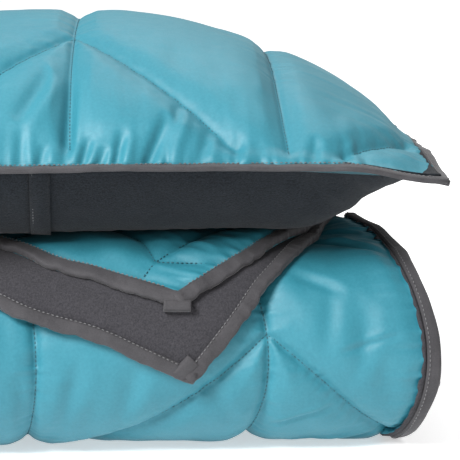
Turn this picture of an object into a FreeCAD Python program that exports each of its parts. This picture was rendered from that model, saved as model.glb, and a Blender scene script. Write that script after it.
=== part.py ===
import FreeCAD, Part
import math
import os

# A quilted camp blanket folded flat with its matching pillow on top.
# Millimetres. +X runs to the right along the long side, +Y to the back, +Z up.
# The origin is on the floor, under the middle of the pillow.

# ---- driving dimensions: the folded blanket ----
DOUBLE_PLY = 43.0          # thickness of the blanket once it is folded in half
PLY_GAP = 0.5              # air between two runs of the double ply
FRONT_Y = -218.0           # front of the outer wrap
BACK_Y = 218.0             # back fold and free ends
FOLD_X = -315.0            # left end: the fold that halves the blanket
PLY_END_X = 303.0          # right end of the plies, where the binding tape starts
TAPE_WIDTH = 13.0          # finished width of the binding tape
TAPE_THICK = 13.0          # binding tape closed round one soft ply edge
SHELL = 0.6                # nylon shell cloth
LINING = 3.6               # fleece lining
LAYER_GAP = 0.1            # air between shell, batting and lining

# ---- driving dimensions: the corner turned over the front ----
TURNED_PLY = 7.2           # one pressed ply of the turned corner
TURNED_GAP = 0.3
TURNED_SHELL = 0.6
TURNED_LINING = 1.6
CORNER_TAPE = 12.0         # binding tape on the turned corner
TAB_LENGTH = 15.0          # mitred tape tab at the tip of a corner
TAB_JOIN = 1.0             # the tapes end this far from the tab's inner point
TURN_START = (316.0, -43.0)    # the diagonal fold leaves the right edge here (x, y)
TURN_END = (-314.0, 217.0)     # and reaches the back left corner here (x, y)
HINGE_ANGLE = 20.0         # where the corners start to lift, round the front wrap (degrees)
TIP_ANGLE = 100.0          # a band round the front that reaches past both tips (degrees)
# front view (x, z) of each draped corner: where it leaves the top, and its tip
UPPER_LEFT_X, UPPER_RIGHT_X, UPPER_TIP = -20.0, 145.0, (96.0, 139.0)
LOWER_LEFT_X, LOWER_RIGHT_X, LOWER_TIP = -125.0, 208.0, (108.0, 74.0)
UPPER_BEND = (232.0, -125.0)   # plan (x, y): the right edge turns towards the side here
LOWER_BEND = (262.0, -118.0)

# ---- driving dimensions: the pillow ----
PILLOW_HALF_X = 312.0      # seam line, without the binding
PILLOW_HALF_Y = 226.0
SEAM_Z = 257.0             # height of the seam between face and back
CROWN_Z = 372.0
PILLOW_TAPE = 10.5         # how far the binding stands out of the seam
PILLOW_TAPE_THICK = 9.0
SEAM_CORNER_R = 14.0
FACE_SHELL = 0.8
FACE_BATTING = 11.0
BACK_CLOTH = 2.0
SKIN_GAP = 0.3
TICKING = 1.0
HEM_EDGE_X = -10.0         # free edge of the envelope closure, across the back
HEM_WIDTH = 17.0
UNDERLAP = 100.0           # how far the inner back panel reaches behind the outer one
REST_GAP = 0.5             # air between blanket and pillow
FACE_LEVELS = (0.25, 0.5, 0.7, 0.85, 0.95, 1.0)   # heights of the face's outlines, seam to crown
FACE_POWER = 0.7           # how the face's height falls from the crown to the seam
FACE_TOP_SHARE = 0.985     # the highest outline stays this far up, so that it keeps some size
FACE_ROUNDING = 150.0      # how much rounder the face's outline gets towards the crown
BACK_ROUNDING = 60.0       # and the back's, towards the blanket
TAB_OVERLAP = 6.0          # a corner tab reaches this far past the rounded corner
# back outlines: share of the drop from seam to contact, share of the seam's half sizes
BACK_LEVELS = ((0.25, 0.955), (0.62, 0.86), (0.88, 0.775), (1.0, 0.72))

PITCH = DOUBLE_PLY + PLY_GAP
HALF_PLY = DOUBLE_PLY / 2
STACK_TOP = 4 * DOUBLE_PLY + 3 * PLY_GAP
WRAP_R = STACK_TOP / 2
WRAP_Y = FRONT_Y + WRAP_R
WRAP_Z = STACK_TOP / 2
LOWER_R = WRAP_R + TURNED_GAP                     # underside of the lower turned ply
UPPER_R = LOWER_R + TURNED_PLY + TURNED_GAP       # underside of the upper turned ply
TOP_R = UPPER_R + TURNED_PLY
CONTACT_Z = WRAP_Z + TOP_R + REST_GAP
HINGE = math.radians(HINGE_ANGLE)
HINGE_Y = WRAP_Y - TOP_R * math.sin(HINGE)        # the corners lift about this line,
HINGE_Z = WRAP_Z + TOP_R * math.cos(HINGE)        # on top of the upper corner
BIG = 2000.0


def vec(x, y, z):
    return FreeCAD.Vector(x, y, z)


def save(node, shape):
    shape.exportStep("parts/%s.step" % node)
    print(node, "valid", shape.isValid(), "solids", len(shape.Solids), "volume", round(shape.Volume), "mm3")


def prism(points, axis):
    """A solid prism through the whole object: plan points (x, y) along Z, or front points (x, z) along Y."""
    if axis == "z":
        corners = [vec(x, y, -BIG / 2) for x, y in points]
        run = vec(0, 0, BIG)
    else:
        corners = [vec(x, -BIG / 2, z) for x, z in points]
        run = vec(0, BIG, 0)
    return Part.Face(Part.makePolygon(corners + corners[:1])).extrude(run)


def merge(solids):
    return solids[0].multiFuse(solids[1:]).removeSplitter()


# ---- the run of the double ply through the folded stack, seen from the right (y, z) ----
# n is the distance from the middle of the double ply, positive on the outside of the outer wrap.

def across(profile, y, z, turn):
    """Stand a profile (x, n) across the run at (y, z); turn is the direction of travel in degrees."""
    shape = profile.copy()
    shape.rotate(vec(0, 0, 0), vec(1, 0, 0), turn)
    shape.translate(vec(0, y, z))
    return shape


def straight(profile, y, z, turn, length):
    angle = math.radians(turn)
    return across(profile, y, z, turn).extrude(vec(0, math.cos(angle) * length, math.sin(angle) * length))


def bend(profile, y, z, turn, centre, sweep):
    return across(profile, y, z, turn).revolve(vec(0, centre[0], centre[1]), vec(1, 0, 0), sweep)


def folded_run(profile, end_y=BACK_Y):
    """The profile carried along the whole stack, from the diagonal fold to the free end inside."""
    low, second, third, top = [HALF_PLY + PITCH * k for k in range(4)]
    back_centre_y = BACK_Y - PITCH + PLY_GAP / 2
    inner_centre_y = WRAP_Y
    top_run = straight(profile, end_y, top, 180, end_y - WRAP_Y).cut(behind_turn())
    pieces = [
        top_run,
        bend(profile, WRAP_Y, top, 180, (WRAP_Y, WRAP_Z), 180),
        straight(profile, WRAP_Y, low, 0, back_centre_y - WRAP_Y),
        bend(profile, back_centre_y, low, 0, (back_centre_y, (low + second) / 2), 180),
        straight(profile, back_centre_y, second, 180, back_centre_y - inner_centre_y),
        bend(profile, inner_centre_y, second, 180, (inner_centre_y, (second + third) / 2), -180),
        straight(profile, inner_centre_y, third, 0, end_y - inner_centre_y),
    ]
    return merge(pieces)


def behind_turn():
    """Everything behind the diagonal fold: that triangle of the top run is turned over to the front."""
    direction = vec(TURN_END[0] - TURN_START[0], TURN_END[1] - TURN_START[1], 0).normalize()
    right = vec(TURN_START[0], TURN_START[1], 0) - direction * BIG / 4
    left = vec(TURN_END[0], TURN_END[1], 0) + direction * BIG / 4
    return prism([(right.x, right.y), (BIG, BIG), (-BIG, BIG), (left.x, left.y)], "z")


def halved_layer(near, far):
    """Section (x, n) of one cloth layer of the blanket folded in half: a U closed at the left fold."""
    centre_x = FOLD_X + HALF_PLY
    # x stays x and n stands along -Y, so that a turn of 180 degrees about X points it outwards
    outline = [
        Part.LineSegment(vec(PLY_END_X, 0, -far), vec(centre_x, 0, -far)),
        Part.Arc(vec(centre_x, 0, -far), vec(centre_x - far, 0, 0), vec(centre_x, 0, far)),
        Part.LineSegment(vec(centre_x, 0, far), vec(PLY_END_X, 0, far)),
        Part.LineSegment(vec(PLY_END_X, 0, far), vec(PLY_END_X, 0, near)),
        Part.LineSegment(vec(PLY_END_X, 0, near), vec(centre_x, 0, near)),
        Part.Arc(vec(centre_x, 0, near), vec(centre_x - near, 0, 0), vec(centre_x, 0, -near)),
        Part.LineSegment(vec(centre_x, 0, -near), vec(PLY_END_X, 0, -near)),
        Part.LineSegment(vec(PLY_END_X, 0, -near), vec(PLY_END_X, 0, -far)),
    ]
    return Part.Face(Part.Wire([edge.toShape() for edge in outline]))


def tape_section(side):
    """Section of the binding tape on the right edge of the outer (side 1) or inner (side -1) ply."""
    near_n = side * (HALF_PLY - TAPE_THICK)
    far_n = side * HALF_PLY
    start_x = PLY_END_X + TURNED_GAP
    end_x = start_x + TAPE_WIDTH
    corners = [(start_x, near_n), (end_x, near_n), (end_x, far_n), (start_x, far_n)]
    # a turn of 0 travels to the back with n pointing down, so n is drawn along -Z
    points = [vec(x, 0, -n) for x, n in corners]
    return Part.Face(Part.makePolygon(points + points[:1]))


def free_end_tape(side):
    """Binding tape across the blanket's free end, which lies third from the floor at the back."""
    middle = HALF_PLY + 2 * PITCH
    near_z = middle - side * (HALF_PLY - TAPE_THICK)
    far_z = middle - side * HALF_PLY
    box = Part.makeBox(PLY_END_X - FOLD_X - HALF_PLY, TAPE_WIDTH, abs(far_z - near_z))
    box.translate(vec(FOLD_X + HALF_PLY, BACK_Y - TAPE_WIDTH, min(near_z, far_z)))
    return box


def blanket_stack():
    end_y = BACK_Y - TAPE_WIDTH - TURNED_GAP
    save("blanket_shell", folded_run(halved_layer(HALF_PLY - SHELL, HALF_PLY), end_y))
    batting_far = HALF_PLY - SHELL - LAYER_GAP
    batting_near = TURNED_GAP + LINING + LAYER_GAP
    save("blanket_batting", folded_run(halved_layer(batting_near, batting_far), end_y))
    save("blanket_lining", folded_run(halved_layer(TURNED_GAP, TURNED_GAP + LINING), end_y))
    save("side_binding_outer_ply", folded_run(tape_section(1), BACK_Y))
    save("side_binding_inner_ply", folded_run(tape_section(-1), BACK_Y))
    save("end_binding_upper_ply", free_end_tape(-1))
    save("end_binding_lower_ply", free_end_tape(1))


# ---- the corner of the top run, turned over the diagonal fold and draped over the front ----

def over_the_front(inner, outer, start_angle, end_angle):
    """A band over the stack between two distances from the wrap's centre, extruded over the whole width."""
    def at(radius, degrees):
        angle = math.radians(degrees)
        return vec(-BIG / 4, WRAP_Y - radius * math.sin(angle), WRAP_Z + radius * math.cos(angle))

    def arc(radius, first, last):
        return Part.Arc(at(radius, first), at(radius, (first + last) / 2), at(radius, last)).toShape()

    edges = [arc(outer, start_angle, end_angle)]
    edges.append(Part.LineSegment(at(outer, end_angle), at(inner, end_angle)).toShape())
    edges.append(arc(inner, end_angle, start_angle))
    edges.append(Part.LineSegment(at(inner, start_angle), at(outer, start_angle)).toShape())
    return Part.Face(Part.Wire(edges)).extrude(vec(BIG / 2, 0, 0))


def over_the_top(inner, outer):
    """The same band from the back of the stack to the line where the corners start to lift."""
    slab = Part.makeBox(BIG / 2, BACK_Y - WRAP_Y, outer - inner)
    slab.translate(vec(-BIG / 4, WRAP_Y, WRAP_Z + inner))
    return merge([slab, over_the_front(inner, outer, 0, HINGE_ANGLE)])


def shifted_line(start, end, distance):
    """Both ends of a line moved sideways to its left by a distance."""
    length = math.hypot(end[0] - start[0], end[1] - start[1])
    nx, ny = -(end[1] - start[1]) / length * distance, (end[0] - start[0]) / length * distance
    return (start[0] + nx, start[1] + ny), (end[0] + nx, end[1] + ny)


def crossing(first, second):
    (x1, y1), (x2, y2) = first
    (x3, y3), (x4, y4) = second
    cross = (x1 - x2) * (y3 - y4) - (y1 - y2) * (x3 - x4)
    a, b = x1 * y2 - y1 * x2, x3 * y4 - y3 * x4
    return ((a * (x3 - x4) - (x1 - x2) * b) / cross, (a * (y3 - y4) - (y1 - y2) * b) / cross)


def along(start, end, distance):
    length = math.hypot(end[0] - start[0], end[1] - start[1])
    share = distance / length
    return (start[0] + (end[0] - start[0]) * share, start[1] + (end[1] - start[1]) * share)


def corner_outlines(left_x, right_x, tip):
    """Front outlines (x, z) of a draped corner: the cloth, the two tapes and the tab at the tip."""
    left, right = (left_x, HINGE_Z - TURNED_PLY), (right_x, HINGE_Z - TURNED_PLY)
    tape_left = shifted_line(left, tip, CORNER_TAPE)
    tape_right = shifted_line(tip, right, CORNER_TAPE)
    inner_tip = crossing(tape_left, tape_right)
    cloth_left = shifted_line(left, tip, CORNER_TAPE + TURNED_GAP)
    cloth_right = shifted_line(tip, right, CORNER_TAPE + TURNED_GAP)
    cloth = [above(cloth_left[0]), cloth_left[0], crossing(cloth_left, cloth_right), cloth_right[1]]
    cloth.append(above(cloth_right[1]))
    left_tape = [above(left), left, along(tip, left, TAB_LENGTH + TURNED_GAP)]
    left_tape += [along(inner_tip, tape_left[0], TAB_JOIN), tape_left[0], above(tape_left[0])]
    right_tape = [above(right), right, along(tip, right, TAB_LENGTH + TURNED_GAP)]
    right_tape += [along(inner_tip, tape_right[1], TAB_JOIN), tape_right[1], above(tape_right[1])]
    tab = [tip, along(tip, left, TAB_LENGTH), inner_tip, along(tip, right, TAB_LENGTH)]
    return {"cloth": cloth, "left": left_tape, "right": right_tape, "tab": tab}


def above(point):
    """The same sideways place, clear above everything."""
    return (point[0], BIG / 2 - 1)


def ply_layers(inner, lining_up):
    """Distances from the wrap's centre of the shell, batting and lining of one turned ply."""
    outer = inner + TURNED_PLY
    if lining_up:
        shell = (inner, inner + TURNED_SHELL)
        lining = (outer - TURNED_LINING, outer)
        batting = (shell[1] + LAYER_GAP, lining[0] - LAYER_GAP)
    else:
        shell = (outer - TURNED_SHELL, outer)
        lining = (inner, inner + TURNED_LINING)
        batting = (lining[1] + LAYER_GAP, shell[0] - LAYER_GAP)
    return {"shell": shell, "batting": batting, "lining": lining}


def draped_corner(name, inner, lining_up, left_x, right_x, tip):
    """The moving part of a corner, from the line where it starts to lift to its tip."""
    outlines = corner_outlines(left_x, right_x, tip)
    for layer, (low, high) in ply_layers(inner, lining_up).items():
        band = over_the_front(low, high, HINGE_ANGLE, TIP_ANGLE)
        save("%s_corner_%s" % (name, layer), band.common(prism(outlines["cloth"], "y")))
    band = over_the_front(inner, inner + TURNED_PLY, HINGE_ANGLE, TIP_ANGLE)
    for side in ("left", "right"):
        save("%s_corner_binding_%s" % (name, side), band.common(prism(outlines[side], "y")))
    save("%s_corner_tab" % name, band.common(prism(outlines["tab"], "y")))


def turned_ply(name, inner, lining_up, left_x, right_x, bend_point):
    """The part of a turned ply that lies on the stack under the pillow, back to the diagonal fold."""
    left_edge = ((left_x, HINGE_Y), TURN_END)
    right_edge = ((right_x, HINGE_Y), bend_point)
    side_edge = (bend_point, TURN_START)
    fold_line = shifted_line(TURN_START, TURN_END, TURNED_GAP)

    def inset(distance):
        left = shifted_line(*left_edge, -distance)
        right = shifted_line(*right_edge, distance)
        side = shifted_line(*side_edge, distance)
        ends = [crossing(left, fold_line), crossing(side, fold_line), crossing(right, side)]
        return [left[0]] + ends + [right[0]]

    edge, tape_edge, cloth_edge = inset(0), inset(CORNER_TAPE), inset(CORNER_TAPE + TURNED_GAP)
    cloth = [below(cloth_edge[0])] + cloth_edge + [below(cloth_edge[-1])]
    left_tape = [below(edge[0]), edge[0], edge[1], tape_edge[1], tape_edge[0], below(tape_edge[0])]
    right_tape = [below(edge[4]), edge[4], edge[3], edge[2], tape_edge[2], tape_edge[3], tape_edge[4]]
    right_tape.append(below(tape_edge[4]))
    for layer, (low, high) in ply_layers(inner, lining_up).items():
        save("turned_%s_%s" % (name, layer), over_the_top(low, high).common(prism(cloth, "z")))
    band = over_the_top(inner, inner + TURNED_PLY)
    tapes = [band.common(prism(outline, "z")) for outline in (left_tape, right_tape)]
    save("turned_%s_binding" % name, Part.makeCompound([solid for tape in tapes for solid in tape.Solids]))


def below(point):
    """The same sideways place, clear in front of everything."""
    return (point[0], -BIG / 2 + 1)


def diagonal_fold():
    """The soft roll where the top run turns over: a half round along the diagonal, bound at its right end."""
    low = STACK_TOP - DOUBLE_PLY
    high = WRAP_Z + TOP_R
    middle, radius = (low + high) / 2, (high - low) / 2
    direction = vec(TURN_END[0] - TURN_START[0], TURN_END[1] - TURN_START[1], 0)
    length = direction.Length
    direction.normalize()
    outward = vec(direction.y, -direction.x, 0)
    start = vec(TURN_START[0], TURN_START[1], middle) + outward * TURNED_GAP - direction * length / 2

    def half_round(size):
        top, bottom = start + vec(0, 0, size), start - vec(0, 0, size)
        nose = start + outward * size
        back = Part.LineSegment(top, bottom).toShape()
        wire = Part.Wire([Part.Arc(bottom, nose, top).toShape(), back])
        return Part.Face(wire).extrude(direction * length * 2)

    def between(low_x, high_x):
        return slice_x(low_x, high_x).common(slice_y(FRONT_Y, BACK_Y))

    cloth = between(FOLD_X, PLY_END_X)
    shell = half_round(radius).cut(half_round(radius - TURNED_SHELL))
    save("turned_fold_shell", shell.common(cloth))
    save("turned_fold_batting", half_round(radius - TURNED_SHELL - LAYER_GAP).common(cloth))
    tape = between(PLY_END_X + TURNED_GAP, PLY_END_X + TURNED_GAP + TAPE_WIDTH)
    save("turned_fold_binding", half_round(radius).common(tape))


def slice_x(low_x, high_x):
    box = Part.makeBox(high_x - low_x, BIG, BIG)
    box.translate(vec(low_x, -BIG / 2, -BIG / 2))
    return box


def slice_y(low_y, high_y):
    box = Part.makeBox(BIG, high_y - low_y, BIG)
    box.translate(vec(-BIG / 2, low_y, -BIG / 2))
    return box


# ---- the pillow ----

def rounded_outline(half_x, half_y, radius, z):
    """A rounded rectangle at height z, its eight edges in the same order every time."""
    x, y, r = half_x, half_y, radius
    c = r * (1 - math.sqrt(0.5))
    edges = []
    for sx, sy in ((1, -1), (1, 1), (-1, 1), (-1, -1)):
        start = vec(sx * (x - r), sy * y, z) if sx * sy < 0 else vec(sx * x, sy * (y - r), z)
        end = vec(sx * x, sy * (y - r), z) if sx * sy < 0 else vec(sx * (x - r), sy * y, z)
        edges.append(Part.Arc(start, vec(sx * (x - c), sy * (y - c), z), end).toShape())
    wire = []
    for k in range(4):
        end = edges[k].Vertexes[-1].Point
        next_start = edges[(k + 1) % 4].Vertexes[0].Point
        wire.append(edges[k])
        wire.append(Part.LineSegment(end, next_start).toShape())
    return Part.Wire(wire)


def face_half(inset):
    """The domed upper half of the pillow, made smaller all round by inset."""
    half_x, half_y, rise = PILLOW_HALF_X - inset, PILLOW_HALF_Y - inset, CROWN_Z - SEAM_Z - inset
    outlines = [rounded_outline(half_x, half_y, SEAM_CORNER_R, SEAM_Z)]
    for level in FACE_LEVELS:
        share = math.sqrt(1 - (FACE_TOP_SHARE * level) ** (1 / FACE_POWER))
        radius = min(SEAM_CORNER_R + level * FACE_ROUNDING, share * half_y - SKIN_GAP)
        outlines.append(rounded_outline(share * half_x, share * half_y, radius, SEAM_Z + rise * level))
    return Part.makeLoft(outlines, True, True)


def back_half(inset):
    """The flatter lower half of the pillow, pressed flat where it rests on the blanket."""
    half_x, half_y, drop = PILLOW_HALF_X - inset, PILLOW_HALF_Y - inset, SEAM_Z - CONTACT_Z - inset
    outlines = [rounded_outline(half_x, half_y, SEAM_CORNER_R, SEAM_Z)]
    for level, share in BACK_LEVELS:
        radius = SEAM_CORNER_R + level * BACK_ROUNDING
        outlines.append(rounded_outline(share * half_x, share * half_y, radius, SEAM_Z - drop * level))
    return Part.makeLoft(outlines, True, True)


def pillow_cover():
    save("pillow_face_shell", face_half(0).cut(face_half(FACE_SHELL)))
    batting_start = FACE_SHELL + SKIN_GAP
    batting_end = batting_start + FACE_BATTING
    save("pillow_face_batting", face_half(batting_start).cut(face_half(batting_end)))
    outer_back = back_half(0).cut(back_half(BACK_CLOTH))
    under_start = BACK_CLOTH + SKIN_GAP
    inner_back = back_half(under_start).cut(back_half(under_start + BACK_CLOTH))
    stitch_x = HEM_EDGE_X - HEM_WIDTH
    save("pillow_back_outer_panel", outer_back.common(slice_x(-BIG / 2, stitch_x - SKIN_GAP)))
    save("pillow_back_opening_hem", outer_back.common(slice_x(stitch_x, HEM_EDGE_X)))
    save("pillow_back_inner_panel", inner_back.common(slice_x(HEM_EDGE_X - UNDERLAP, BIG / 2)))


def pillow_insert():
    cover = FACE_SHELL + FACE_BATTING + 3 * SKIN_GAP

    def body(inset):
        return merge([face_half(inset), back_half(inset)])

    save("insert_ticking", body(cover).cut(body(cover + TICKING)))
    save("insert_fill", body(cover + TICKING + SKIN_GAP))


def pillow_binding():
    """Tape round the seam: four strips and four mitred corner tabs."""
    low_z, height = SEAM_Z - PILLOW_TAPE_THICK / 2, PILLOW_TAPE_THICK
    inner_x, inner_y = PILLOW_HALF_X + SKIN_GAP, PILLOW_HALF_Y + SKIN_GAP
    outer_x, outer_y = inner_x + PILLOW_TAPE, inner_y + PILLOW_TAPE
    tab = SEAM_CORNER_R + TAB_OVERLAP
    long_half, short_half = inner_x - tab, inner_y - tab

    def bar(low_x, high_x, low_y, high_y):
        box = Part.makeBox(high_x - low_x, high_y - low_y, height)
        box.translate(vec(low_x, low_y, low_z))
        return box

    save("pillow_binding_front", bar(-long_half, long_half, -outer_y, -inner_y))
    save("pillow_binding_back", bar(-long_half, long_half, inner_y, outer_y))
    save("pillow_binding_left", bar(-outer_x, -inner_x, -short_half, short_half))
    save("pillow_binding_right", bar(inner_x, outer_x, -short_half, short_half))
    body = Part.Face(rounded_outline(inner_x, inner_y, SEAM_CORNER_R, low_z)).extrude(vec(0, 0, height))
    tabs = []
    for sx in (-1, 1):
        for sy in (-1, 1):
            ends_x = sorted((sx * (long_half + SKIN_GAP), sx * outer_x))
            ends_y = sorted((sy * (short_half + SKIN_GAP), sy * outer_y))
            tabs.append(bar(ends_x[0], ends_x[1], ends_y[0], ends_y[1]).cut(body))
    save("pillow_corner_tabs", Part.makeCompound([solid for tab_shape in tabs for solid in tab_shape.Solids]))


os.makedirs("parts", exist_ok=True)
blanket_stack()
diagonal_fold()
turned_ply("lower", LOWER_R, True, LOWER_LEFT_X, LOWER_RIGHT_X, LOWER_BEND)
turned_ply("upper", UPPER_R, False, UPPER_LEFT_X, UPPER_RIGHT_X, UPPER_BEND)
draped_corner("lower", LOWER_R, True, LOWER_LEFT_X, LOWER_RIGHT_X, LOWER_TIP)
draped_corner("upper", UPPER_R, False, UPPER_LEFT_X, UPPER_RIGHT_X, UPPER_TIP)
pillow_cover()
pillow_insert()
pillow_binding()
print("corners lift about y", round(HINGE_Y, 3), "z", round(HINGE_Z, 3))
print("top of stack", STACK_TOP, "pillow rests at", CONTACT_Z)
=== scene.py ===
"""A folded quilted camp blanket with its matching pillow on top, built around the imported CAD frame."""
import math

import bpy
import numpy as np
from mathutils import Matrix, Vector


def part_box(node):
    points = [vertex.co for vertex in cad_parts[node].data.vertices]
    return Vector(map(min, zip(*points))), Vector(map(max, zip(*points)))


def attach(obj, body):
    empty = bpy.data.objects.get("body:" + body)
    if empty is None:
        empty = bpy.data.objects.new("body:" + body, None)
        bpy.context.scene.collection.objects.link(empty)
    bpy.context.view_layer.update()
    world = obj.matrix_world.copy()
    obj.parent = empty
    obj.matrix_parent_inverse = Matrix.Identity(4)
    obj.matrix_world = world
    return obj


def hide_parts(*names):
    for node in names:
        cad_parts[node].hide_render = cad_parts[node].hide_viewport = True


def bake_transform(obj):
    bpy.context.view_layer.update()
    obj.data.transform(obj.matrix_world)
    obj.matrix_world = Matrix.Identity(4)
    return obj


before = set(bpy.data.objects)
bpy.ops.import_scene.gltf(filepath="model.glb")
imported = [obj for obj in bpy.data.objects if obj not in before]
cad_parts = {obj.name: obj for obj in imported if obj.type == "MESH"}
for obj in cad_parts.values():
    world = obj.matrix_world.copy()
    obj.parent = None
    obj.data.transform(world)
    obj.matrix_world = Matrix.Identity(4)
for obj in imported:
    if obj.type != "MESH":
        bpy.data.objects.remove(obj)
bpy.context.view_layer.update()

# ---- sizes read from the frame (metres) ----
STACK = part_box("blanket_shell")[1].z                 # height of the folded stack
WRAP_R = STACK / 2                                   # radius of the round front
FRONT = math.pi * WRAP_R                             # way round the front, from top run to bottom run
WRAP_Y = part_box("blanket_shell")[0].y + WRAP_R       # the round front starts here
FOLD_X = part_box("blanket_shell")[0].x                # left fold
EDGE_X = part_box("side_binding_outer_ply")[0].x       # right ends of the plies
BACK_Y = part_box("side_binding_outer_ply")[1].y
ROLL_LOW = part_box("turned_fold_shell")[0].z          # underside of the diagonal roll
ROLL_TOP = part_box("turned_fold_shell")[1].z
DOUBLE = STACK - ROLL_LOW                            # thickness of the doubled blanket
HALF = DOUBLE / 2
PITCH = (STACK - DOUBLE) / 3
CENTRE_X = FOLD_X + HALF
WIDTH = EDGE_X - CENTRE_X
SEAM_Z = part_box("pillow_face_shell")[0].z
CROWN_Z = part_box("pillow_face_shell")[1].z
CONTACT_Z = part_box("pillow_back_outer_panel")[0].z
PILLOW_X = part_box("pillow_face_shell")[1].x
PILLOW_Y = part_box("pillow_face_shell")[1].y
HEM_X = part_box("pillow_back_opening_hem")[1].x
HEM_STITCH_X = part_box("pillow_back_opening_hem")[0].x

# ---- quilting and binding (metres) ----
QUILT = 0.196                # distance between the long seams
QUILT_ROWS = 0.400           # distance between zigzag rows
CELL = QUILT / 24            # step of the simulated cloth, so that the seams run through its points
WRAP_SEAM_X = 0.170          # one long seam on the front of the blanket
WRAP_ZIGZAG = 0.109          # its zigzag point, measured round the front from the top
PILLOW_QUILT = 0.176
PILLOW_CELL = PILLOW_QUILT / 22
PILLOW_SEAM_X = 0.019
PILLOW_ZIGZAG_Y = -0.085
PILLOW_SEAMS = (PILLOW_SEAM_X, -PILLOW_ZIGZAG_Y, PILLOW_QUILT)
WRAP_SEAMS = (WRAP_SEAM_X, WRAP_ZIGZAG, QUILT)
ON_SEAM = 0.0008             # points of the simulated cloth nearer than this to a seam are sewn down
ON_LINE = 0.0002             # points of the fine cloth nearer than this to a seam carry its stitches
TAPE = 0.0125                # finished width of the binding tape
TAPE_HEIGHT = 0.0098         # thickness of the tape on the stack's edges
CORNER_TAPE_HEIGHT = 0.0066
PILLOW_TAPE_WIDTH = 0.0100   # the part of the pillow's tape that stands out of the seam
PILLOW_TAPE_HEIGHT = 0.0046
SHEET = 0.0068               # pressed thickness of one turned ply
LOW_BASE = WRAP_R + 0.0004   # underside of the lower turned ply, from the stack's middle
HIGH_BASE = LOW_BASE + 0.0076
TURN_A = np.array([0.262, -0.005])       # the diagonal fold leaves the right edge here (x, y)
TURN_B = np.array([FOLD_X + 0.001, BACK_Y - 0.001])
ROLL_QUILT = 0.139           # distance between the seams that cross the diagonal roll
RIGHT_EDGE = 0.289           # how far right the outer ply reaches at the floor
EDGE_BULGE = 0.021           # how much further at mid height
TOP_DRAW = 0.024             # how much less over the top
TOP_RISE = 0.010             # how much higher the top run stands at its right end
INNER_START = 0.83           # way round the blanket to the first row of the inner folds


# ================= helpers =================

def value_noise(x, y, z, seed):
    """Smooth noise between -1 and 1 on a hashed lattice, the same on every run."""
    x, y, z = np.broadcast_arrays(np.asarray(x, float), np.asarray(y, float), np.asarray(z, float))
    cell = [np.floor(a).astype(np.int64) for a in (x, y, z)]
    fade = []
    for a, whole in zip((x, y, z), cell):
        part = a - whole
        fade.append(part * part * part * (part * (part * 6 - 15) + 10))
    total = np.zeros_like(x)
    for corner in np.ndindex(2, 2, 2):
        h = (cell[0] + corner[0]) * 73856093 ^ (cell[1] + corner[1]) * 19349663
        h = h ^ (cell[2] + corner[2]) * 83492791 ^ seed * 2971215
        h = (h ^ (h >> 13)) * 1274126177 & 0xFFFFFFFF
        h = (h ^ (h >> 15)) * 2246822519 & 0xFFFFFFFF
        weight = (h >> 8 & 0xFFFF) / 32767.5 - 1
        for f, d in zip(fade, corner):
            weight = weight * (f if d else 1 - f)
        total += weight
    return total


def smooth(low, high, value):
    t = np.clip((value - low) / (high - low), 0, 1)
    return t * t * (3 - 2 * t)


def creases(a, b, lines):
    """Soft folds in the cloth: (a0, b0, a1, b1, width, depth) each, with a raised roll beside it."""
    total = np.zeros_like(a)
    for a0, b0, a1, b1, width, depth in lines:
        length = math.hypot(a1 - a0, b1 - b0)
        along = ((a - a0) * (a1 - a0) + (b - b0) * (b1 - b0)) / length ** 2
        aside = ((a - a0) * (b1 - b0) - (b - b0) * (a1 - a0)) / length
        fade = np.clip(4 * along * (1 - along), 0, 1) ** 0.7
        total -= depth * fade * np.exp(-(aside / width) ** 2)
        total += 0.5 * depth * fade * np.exp(-((aside - 1.7 * width) / width) ** 2)
    return total


def zigzag_swing(u, seam_u, pitch):
    """The zigzag seam's way along v: it runs at 45 degrees between the long seams."""
    return np.abs((u - seam_u + pitch) % (2 * pitch) - pitch)


def seam_distance(u, v, seam_u, apex_v, pitch, rows=QUILT_ROWS):
    """Distances to the nearest seam of any kind, long seam and zigzag seam."""
    long_seam = np.abs((u - seam_u + pitch / 2) % pitch - pitch / 2)
    swing = zigzag_swing(u, seam_u, pitch)
    zigzag = np.abs((v - apex_v - swing + rows / 2) % rows - rows / 2) * math.sqrt(0.5)
    return np.minimum(long_seam, zigzag), long_seam, zigzag


def seam_valley(d, depth):
    """A quilting seam: a crisp sewn line at the bottom of a soft valley."""
    return -depth * (0.40 * np.exp(-(d / 0.0034) ** 1.4) + 0.60 * np.exp(-(d / 0.017) ** 1.15))


def new_mesh(name, points, faces, material, flat=None):
    """A smooth-shaded piece; flat holds each point's place in the flat cloth, kept as a UV map."""
    mesh = bpy.data.meshes.new(name)
    mesh.from_pydata([tuple(p) for p in np.asarray(points).reshape(-1, 3)], [], faces)
    mesh.update()
    mesh.polygons.foreach_set("use_smooth", [True] * len(mesh.polygons))
    piece = bpy.data.objects.new(name, mesh)
    bpy.context.scene.collection.objects.link(piece)
    mesh.materials.append(material)
    if flat is None:
        flat = np.asarray(points).reshape(-1, 3)[:, (0, 2)]
    layer = mesh.uv_layers.new(name="flat")
    corner = np.empty(len(mesh.loops), np.int32)
    mesh.loops.foreach_get("vertex_index", corner)
    layer.data.foreach_set("uv", np.asarray(flat, float).reshape(-1, 2)[corner].ravel())
    return piece


def grid_faces(rows, columns, ring=False, flip=False):
    faces = []
    for i in range(rows - 1):
        for j in range(columns if ring else columns - 1):
            k = (j + 1) % columns
            face = (i * columns + j, i * columns + k, (i + 1) * columns + k, (i + 1) * columns + j)
            faces.append(face[::-1] if flip else face)
    return faces


def end_caps(rows, columns, flip=False):
    first = tuple(range(columns - 1, -1, -1))
    last = tuple(range((rows - 1) * columns, rows * columns))
    return [first[::-1], last[::-1]] if flip else [first, last]


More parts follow.
